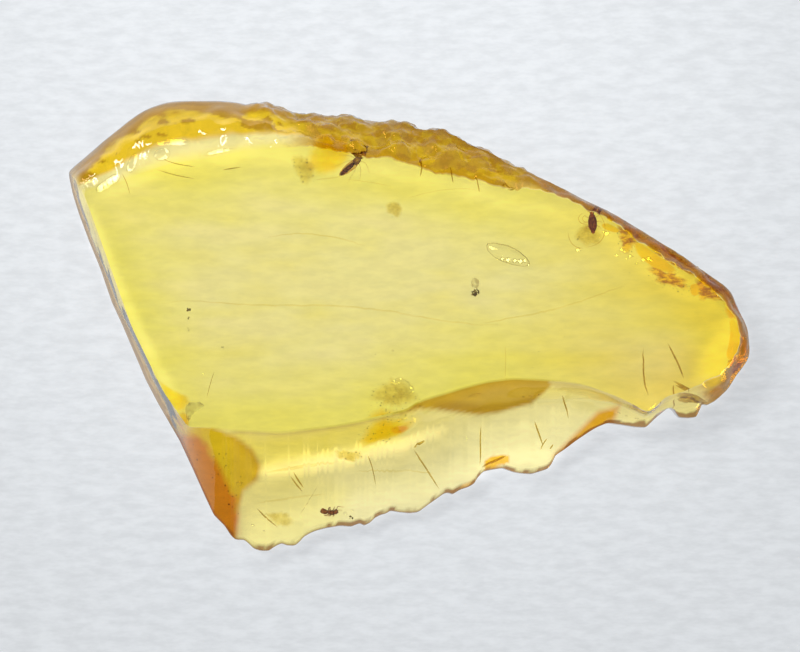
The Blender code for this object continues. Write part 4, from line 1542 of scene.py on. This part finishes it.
@dataclass(frozen=True)
class Insect:
    """An insect in its own frame, its head to +X, and where it lies in the slab.

    Its limbs are lines with a radius, and each has swellings for its joints.
    """

    name: str
    place: tuple
    turn: float
    lobes: tuple
    limbs: tuple
    finish: ChitinFinish
    sides: int = 7
    taper: float = 0.6
    limb_places: int = 18
    joint_swell: float = 0.15
    joint_turns: float = 25.0

    def limb(self, corners: tuple, radius: float) -> bpy.types.Object:
        """Model a leg or a feeler as a thin tube that tapers to its end."""
        path = smooth_path(np.array(corners), self.limb_places)
        along = np.gradient(path, axis=0)
        along /= np.linalg.norm(along, axis=1)[:, None]
        side = np.cross(np.array((0.0, 0.0, 1.0)), along)
        side /= np.linalg.norm(side, axis=1)[:, None]
        up = np.cross(along, side)
        share = np.linspace(0.0, 1.0, self.limb_places)
        swell = 1.0 + self.joint_swell * np.cos(share * self.joint_turns)
        girth = radius * (1.0 - self.taper * share) * swell
        turn = -math.tau * np.arange(self.sides) / self.sides
        around = (np.cos(turn)[:, None, None] * side[None]
                  + np.sin(turn)[:, None, None] * up[None])
        tube, _, _ = carried_drum(path[None] + around * girth[None, :, None])
        bpy.ops.object.shade_smooth()
        return tube

    def settled(self, piece: bpy.types.Object) -> bpy.types.Object:
        """Turn a piece and lay it on the parting plane, where the insect lies."""
        height = PARTING_HEIGHT + PARTING_SLOPE * self.place[1]
        piece.data.transform(
            Matrix.Translation((*self.place, height))
            @ Matrix.Rotation(math.atan(PARTING_SLOPE), 4, "X")
            @ Matrix.Rotation(self.turn, 4, "Z"))
        return piece

    def build(self) -> None:
        """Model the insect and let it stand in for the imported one."""
        parts = [lobe.shape() for lobe in self.lobes]
        parts += [self.limb(corners, radius) for corners, radius in self.limbs]
        body = self.settled(joined(parts))
        finish_piece(body, "fine_" + self.name, self.finish.material(), (self.name,))


def mirrored(limbs: tuple) -> tuple:
    """Limbs of both sides from those of one side, each with its radius."""
    return tuple((tuple((x, side * y, z) for x, y, z in corners), radius)
                 for side in (-1, 1) for corners, radius in limbs)


ANT = Insect(
    "ant", (-4.70, -10.85), 0.0,
    lobes=(
        Lobe((-0.33, 0.02, 0.0), (0.24, 0.18, 0.16), math.radians(-12), 3),
        Lobe((-0.12, -0.02, 0.0), (0.09, 0.10, 0.07)),
        Lobe((0.01, -0.04, 0.0), (0.12, 0.14, 0.10)),
        Lobe((0.16, -0.04, 0.01), (0.14, 0.16, 0.12), math.radians(8)),
        Lobe((0.37, -0.03, 0.0), (0.15, 0.16, 0.12), math.radians(10)),
        Lobe((0.49, -0.06, 0.0), (0.05, 0.05, 0.035), math.radians(-30)),
        Lobe((0.38, 0.07, 0.05), (0.03, 0.03, 0.03)),
    ),
    limbs=(
        (((-0.02, 0.02, 0.0), (-0.04, 0.22, 0.03), (0.02, 0.29, 0.03)), 0.045),
        (((0.08, 0.02, 0.0), (0.03, 0.24, 0.03), (0.07, 0.31, 0.03)), 0.045),
        (((0.18, 0.02, 0.0), (0.27, 0.20, 0.03), (0.31, 0.30, 0.03)), 0.045),
        (((0.0, -0.12, 0.0), (-0.12, -0.22, -0.03), (-0.32, -0.24, -0.03)), 0.045),
        (((0.10, -0.12, 0.0), (0.06, -0.23, -0.03), (-0.10, -0.29, -0.03)), 0.045),
        (((0.20, -0.10, 0.0), (0.30, -0.22, -0.03), (0.20, -0.27, -0.03)), 0.045),
        (((0.42, 0.06, 0.03), (0.48, 0.30, 0.05), (0.62, 0.34, 0.05), (0.86, 0.24, 0.04)), 0.022),
        (((0.46, 0.04, -0.03), (0.60, 0.14, -0.05), (0.74, 0.08, -0.05)), 0.020),
    ),
    finish=ChitinFinish("ant_skin", (0.30, 0.07, 0.004), (0.72, 0.26, 0.02), clear=0.6),
)

BEETLE = Insect(
    "beetle", (10.70, 6.02), math.radians(94),
    lobes=(
        Lobe((-0.06, 0.075, 0.01), (0.44, 0.19, 0.18), math.radians(3), 4),
        Lobe((-0.06, -0.075, 0.01), (0.44, 0.19, 0.18), math.radians(-3), 4),
        Lobe((-0.08, 0.0, -0.03), (0.46, 0.26, 0.15)),
        Lobe((-0.44, 0.0, -0.02), (0.22, 0.14, 0.11), 0.0, 3),
        Lobe((0.34, 0.0, 0.0), (0.17, 0.19, 0.14)),
        Lobe((0.54, 0.0, -0.01), (0.11, 0.12, 0.10)),
        Lobe((0.58, 0.09, 0.02), (0.035, 0.035, 0.035)),
        Lobe((0.58, -0.09, 0.02), (0.035, 0.035, 0.035)),
    ),
    limbs=mirrored((
        (((0.28, 0.14, -0.05), (0.36, 0.36, -0.05), (0.48, 0.42, -0.05)), 0.016),
        (((0.05, 0.24, -0.05), (0.06, 0.46, -0.05), (-0.04, 0.56, -0.05)), 0.016),
        (((-0.18, 0.20, -0.05), (-0.28, 0.42, -0.05), (-0.42, 0.48, -0.05)), 0.016),
        (((0.58, 0.06, 0.0), (0.66, 0.16, 0.0), (0.64, 0.28, 0.0)), 0.014),
    )),
    finish=ChitinFinish("beetle_skin", (0.72, 0.14, 0.01), (0.96, 0.34, 0.03), clear=0.6),
)

MIDGE = Insect(
    "midge", (-3.45, 9.35), math.radians(41),
    lobes=(
        Lobe((0.42, 0.0, 0.02), (0.27, 0.21, 0.20), 0.0, 1),
        Lobe((-0.28, 0.0, -0.03), (0.62, 0.14, 0.12), 0.0, 6),
        Lobe((0.76, 0.0, -0.02), (0.13, 0.13, 0.12)),
        Lobe((0.79, 0.08, 0.0), (0.055, 0.05, 0.06)),
        Lobe((0.79, -0.08, 0.0), (0.055, 0.05, 0.06)),
    ),
    limbs=mirrored((
        (((0.54, 0.14, -0.03), (0.74, 0.42, -0.03), (0.62, 0.78, -0.03), (0.50, 1.04, -0.03)),
         0.012),
        (((0.42, 0.16, -0.03), (0.30, 0.52, -0.03), (0.02, 0.78, -0.03), (-0.22, 0.98, -0.03)),
         0.012),
        (((0.30, 0.14, -0.03), (-0.06, 0.38, -0.03), (-0.52, 0.50, -0.03), (-0.92, 0.66, -0.03)),
         0.012),
        (((0.84, 0.05, 0.0), (1.02, 0.14, 0.0), (1.18, 0.26, 0.0)), 0.010),
    )),
    finish=ChitinFinish("midge_skin", (0.50, 0.27, 0.15), (0.80, 0.54, 0.30), clear=0.6),
)

WINGS = (
    Lobe((-0.24, 0.06, 0.08), (0.68, 0.17, 0.03), math.radians(3)),
    Lobe((-0.20, -0.08, 0.115), (0.66, 0.17, 0.03), math.radians(-5)),
)
WING_FINISH = StainFinish("wing_membrane", (0.55, 0.34, 0.20), (0.80, 0.64, 0.46), 0.25,
                          ior=1.12, roughness=0.15)


def midge_wings() -> None:
    """Lay the midge's folded wings over its body, as thin brown membranes."""
    wings = MIDGE.settled(joined([wing.shape() for wing in WINGS]))
    with_fade(wings, np.ones(len(wings.data.vertices)))
    finish_piece(wings, "midge_wings", WING_FINISH.material())


@dataclass(frozen=True)
class Gathered:
    """A patch of paper, outlined in the photograph's frame, where the light that the slab gathers
    is painted into the paper's glow.
    """

    outline: tuple
    gain: float
    soft_mm: float


GATHERED = (
    # painted light all over the slab, for the light that comes through it
    Gathered(tuple(corner for side in RIM for corner in side.outer), 0.11, 0.8),
    # inside the weathered rim
    Gathered(((100, 180), (140, 162), (200, 156), (250, 148), (350, 160), (405, 166),
              (470, 186), (530, 200), (590, 216), (600, 232), (540, 216), (470, 200),
              (400, 180), (340, 172), (250, 158), (200, 168), (140, 180), (96, 200)), 0.15, 1.2),
    Gathered(((118, 160), (135, 138), (165, 118), (195, 110), (240, 112), (270, 118),
              (262, 134), (215, 132), (180, 138), (150, 145), (125, 165)), 0.14, 0.8),
    # along the ground side and the broken edge
    Gathered(((90, 208), (84, 222), (116, 300), (150, 370), (176, 412), (186, 408),
              (160, 362), (128, 296), (102, 232)), 0.36, 0.7),
    Gathered(((240, 545), (262, 550), (290, 543), (330, 526), (400, 511), (450, 492),
              (500, 468), (548, 470), (560, 452), (540, 440), (480, 450), (430, 470),
              (330, 490), (255, 510)), 0.26, 1.5),
    Gathered(((470, 425), (560, 400), (620, 405), (660, 385), (700, 410), (640, 430), (600, 430),
              (555, 465), (510, 480), (470, 480)), 0.19, 1.8),
    Gathered(((255, 462), (268, 450), (330, 436), (400, 424), (440, 424), (400, 444),
              (320, 462), (270, 470)), 0.54, 1.0),
    # at the blunt end
    Gathered(((700, 360), (716, 330), (730, 312), (744, 322), (746, 350), (736, 372),
              (712, 398), (694, 388)), 0.34, 1.2),
    Gathered(((600, 222), (640, 244), (680, 270), (720, 296), (716, 312), (680, 296),
              (640, 272), (604, 244)), 0.18, 1.0),
    Gathered(((150, 165), (175, 148), (235, 146), (300, 144), (300, 156), (235, 162), (180, 168),
              (110, 205), (96, 200)), 0.14, 0.8),
)


@dataclass(frozen=True)
class SoftBox:
    """An oblong area light that looks at the slab, its long side level.

    direction is from the slab towards the light. Its distance and its size are in metres, and
    its power in watts.
    """

    name: str
    direction: tuple
    distance: float
    size: tuple
    power: float
    colour: tuple

    def hang(self) -> None:
        """Add the light to the scene."""
        nothing_selected()
        spot = Vector(self.direction).normalized() * self.distance
        turn = (-spot).to_track_quat("-Z", "Y").to_euler()
        bpy.ops.object.light_add(type="AREA", location=spot, rotation=turn)
        light = bpy.context.object
        light.name = self.name
        light.data.shape = "RECTANGLE"
        light.data.size, light.data.size_y = self.size
        light.data.energy = self.power
        light.data.color = self.colour
        light.visible_camera = False


KEY_LIGHT = SoftBox("key", (-0.59, 0.46, 1.0), 1.2, (0.48, 0.28), 7.6, (1.0, 0.99, 0.97))


@dataclass
class Studio:
    """The stage: pale paper, soft light and the camera over the slab.

    Lengths are in metres, but near_half, bright_place, bright_reach, sensor_mm and
    outline_height are in millimetres.
    """

    floor_size: float = 3.0
    floor_cells: tuple = (236, 192)
    near_half: tuple = (27.0, 22.0)
    near_share: float = 0.92
    glow_near: float = 2.84
    glow_far: float = 2.24
    bright_place: tuple = (-4.0, 18.0)
    bright_reach: tuple = (8.0, 46.0)
    floor_drop: float = 0.00003
    camera_distance: float = 0.5
    camera_tilt: float = math.radians(2.5)
    camera_heading: float = math.radians(-140)
    sensor_mm: float = 36.0
    clip_range: tuple = (0.001, 20.0)
    sky_colour: tuple = (0.95, 0.97, 1.0)
    sky_strength: float = 0.15
    zenith_strength: float = 0.62
    zenith_from: float = 0.87
    front_strength: float = 0.4
    front_from: float = 0.78
    front_direction: tuple = (0.10, -0.53, 0.84)
    outline_height: float = 0.7

    def floor(self) -> None:
        """Lay the sheet of paper, fine under the slab, with painted light in its glow: brighter
        round one place and where the slab gathers light.
        """
        nothing_selected()
        across, along = self.floor_cells
        bpy.ops.mesh.primitive_grid_add(x_subdivisions=across, y_subdivisions=along, size=2.0)
        sheet = bpy.context.object
        sheet.name = "paper"
        mesh = sheet.data
        places = np.empty(len(mesh.vertices) * 3)
        mesh.vertices.foreach_get("co", places)
        places = places.reshape(-1, 3)
        half = self.floor_size / METRES_PER_MM / 2.0
        for axis, near in ((0, self.near_half[0]), (1, self.near_half[1])):
            share = np.abs(places[:, axis])
            over = np.clip((share - self.near_share) / (1.0 - self.near_share), 0.0, 1.0)
            reach = np.minimum(share / self.near_share, 1.0) * near + (half - near) * over ** 3
            places[:, axis] = np.sign(places[:, axis]) * reach
        lowered = places * METRES_PER_MM - (0.0, 0.0, self.floor_drop)
        mesh.vertices.foreach_set("co", lowered.ravel())
        mesh.update()
        plan = places[:, :2]
        far = np.linalg.norm(plan - np.array(self.bright_place), axis=1)
        fall = smooth_step((far - self.bright_reach[0])
                           / (self.bright_reach[1] - self.bright_reach[0]))
        glow = self.glow_near + (self.glow_far - self.glow_near) * fall
        for patch in GATHERED:
            deep = depth_inside(plan, mm(patch.outline))
            glow = glow * (1.0 + patch.gain * smooth_step(deep / patch.soft_mm + 0.5))
        layer = mesh.attributes.new("glow", "FLOAT", "POINT")
        layer.data.foreach_set("value", glow)
        mesh.materials.append(PaperFinish().material())

    def eased(self, tree: bpy.types.NodeTree, source: bpy.types.NodeSocket, start: float,
              low: float, high: float) -> bpy.types.NodeSocket:
        """Light that grows from low to high as a direction's share goes from start to 1."""
        node = tree.nodes.new("ShaderNodeMapRange")
        node.interpolation_type = "SMOOTHSTEP"
        for key, value in (("From Min", start), ("To Min", low), ("To Max", high)):
            node.inputs[key].default_value = value
        tree.links.new(source, node.inputs["Value"])
        return node.outputs["Result"]

    def sky(self) -> None:
        """A pale surrounding, brighter overhead and towards the front."""
        world = bpy.data.worlds.new("studio")
        bpy.context.scene.world = world
        world.use_nodes = True
        tree = world.node_tree
        background = tree.nodes["Background"]
        background.inputs["Color"].default_value = (*self.sky_colour, 1.0)
        place = tree.nodes.new("ShaderNodeTexCoord").outputs["Generated"]
        split = tree.nodes.new("ShaderNodeSeparateXYZ")
        tree.links.new(place, split.inputs["Vector"])
        ahead = tree.nodes.new("ShaderNodeVectorMath")
        ahead.operation = "DOT_PRODUCT"
        ahead.inputs[1].default_value = self.front_direction
        tree.links.new(place, ahead.inputs[0])
        total = tree.nodes.new("ShaderNodeMath")
        overhead = self.eased(tree, split.outputs["Z"], self.zenith_from, self.sky_strength,
                              self.zenith_strength)
        front = self.eased(tree, ahead.outputs["Value"], self.front_from, 0.0,
                           self.front_strength)
        tree.links.new(overhead, total.inputs[0])
        tree.links.new(front, total.inputs[1])
        tree.links.new(total.outputs["Value"], background.inputs["Strength"])

    def camera(self) -> None:
        """Look down at the slab with a long lens, at the photograph's scale."""
        lift = Vector((math.sin(self.camera_tilt) * math.cos(self.camera_heading),
                       math.sin(self.camera_tilt) * math.sin(self.camera_heading),
                       math.cos(self.camera_tilt)))
        target = Vector((
            (PHOTO_WIDTH / 2 - ORIGIN_PIXEL[0]) / PIXELS_PER_MM * METRES_PER_MM,
            (ORIGIN_PIXEL[1] - PHOTO_HEIGHT / 2) / PIXELS_PER_MM * METRES_PER_MM,
            self.outline_height * METRES_PER_MM))
        nothing_selected()
        bpy.ops.object.camera_add()
        camera = bpy.context.object
        up = Vector((0.0, 1.0, 0.0))
        right = up.cross(lift).normalized()
        true_up = lift.cross(right)
        camera.matrix_world = Matrix.Translation(target + lift * self.camera_distance) @ Matrix(
            (right, true_up, lift)).transposed().to_4x4()
        view_width = PHOTO_WIDTH / PIXELS_PER_MM * METRES_PER_MM
        camera.data.sensor_width = self.sensor_mm
        camera.data.lens = self.sensor_mm * self.camera_distance / view_width
        camera.data.clip_start, camera.data.clip_end = self.clip_range
        bpy.context.scene.camera = camera

    def build(self) -> None:
        """Set up the whole stage."""
        self.floor()
        self.sky()
        KEY_LIGHT.hang()
        self.camera()
        bpy.context.scene.view_settings.view_transform = "Standard"
        LOG.info("studio set up")


def main() -> None:
    """Build the pieces in order, then the stage."""
    logging.basicConfig(level=logging.INFO, format="%(name)s: %(message)s")
    inclusions = Inclusions()
    AmberSlab().build(AmberFinish(), inclusions.hollows())
    inclusions.build()
    for insect in (ANT, BEETLE, MIDGE):
        insect.build()
    midge_wings()
    Studio().build()


if __name__ == "__main__":
    main()
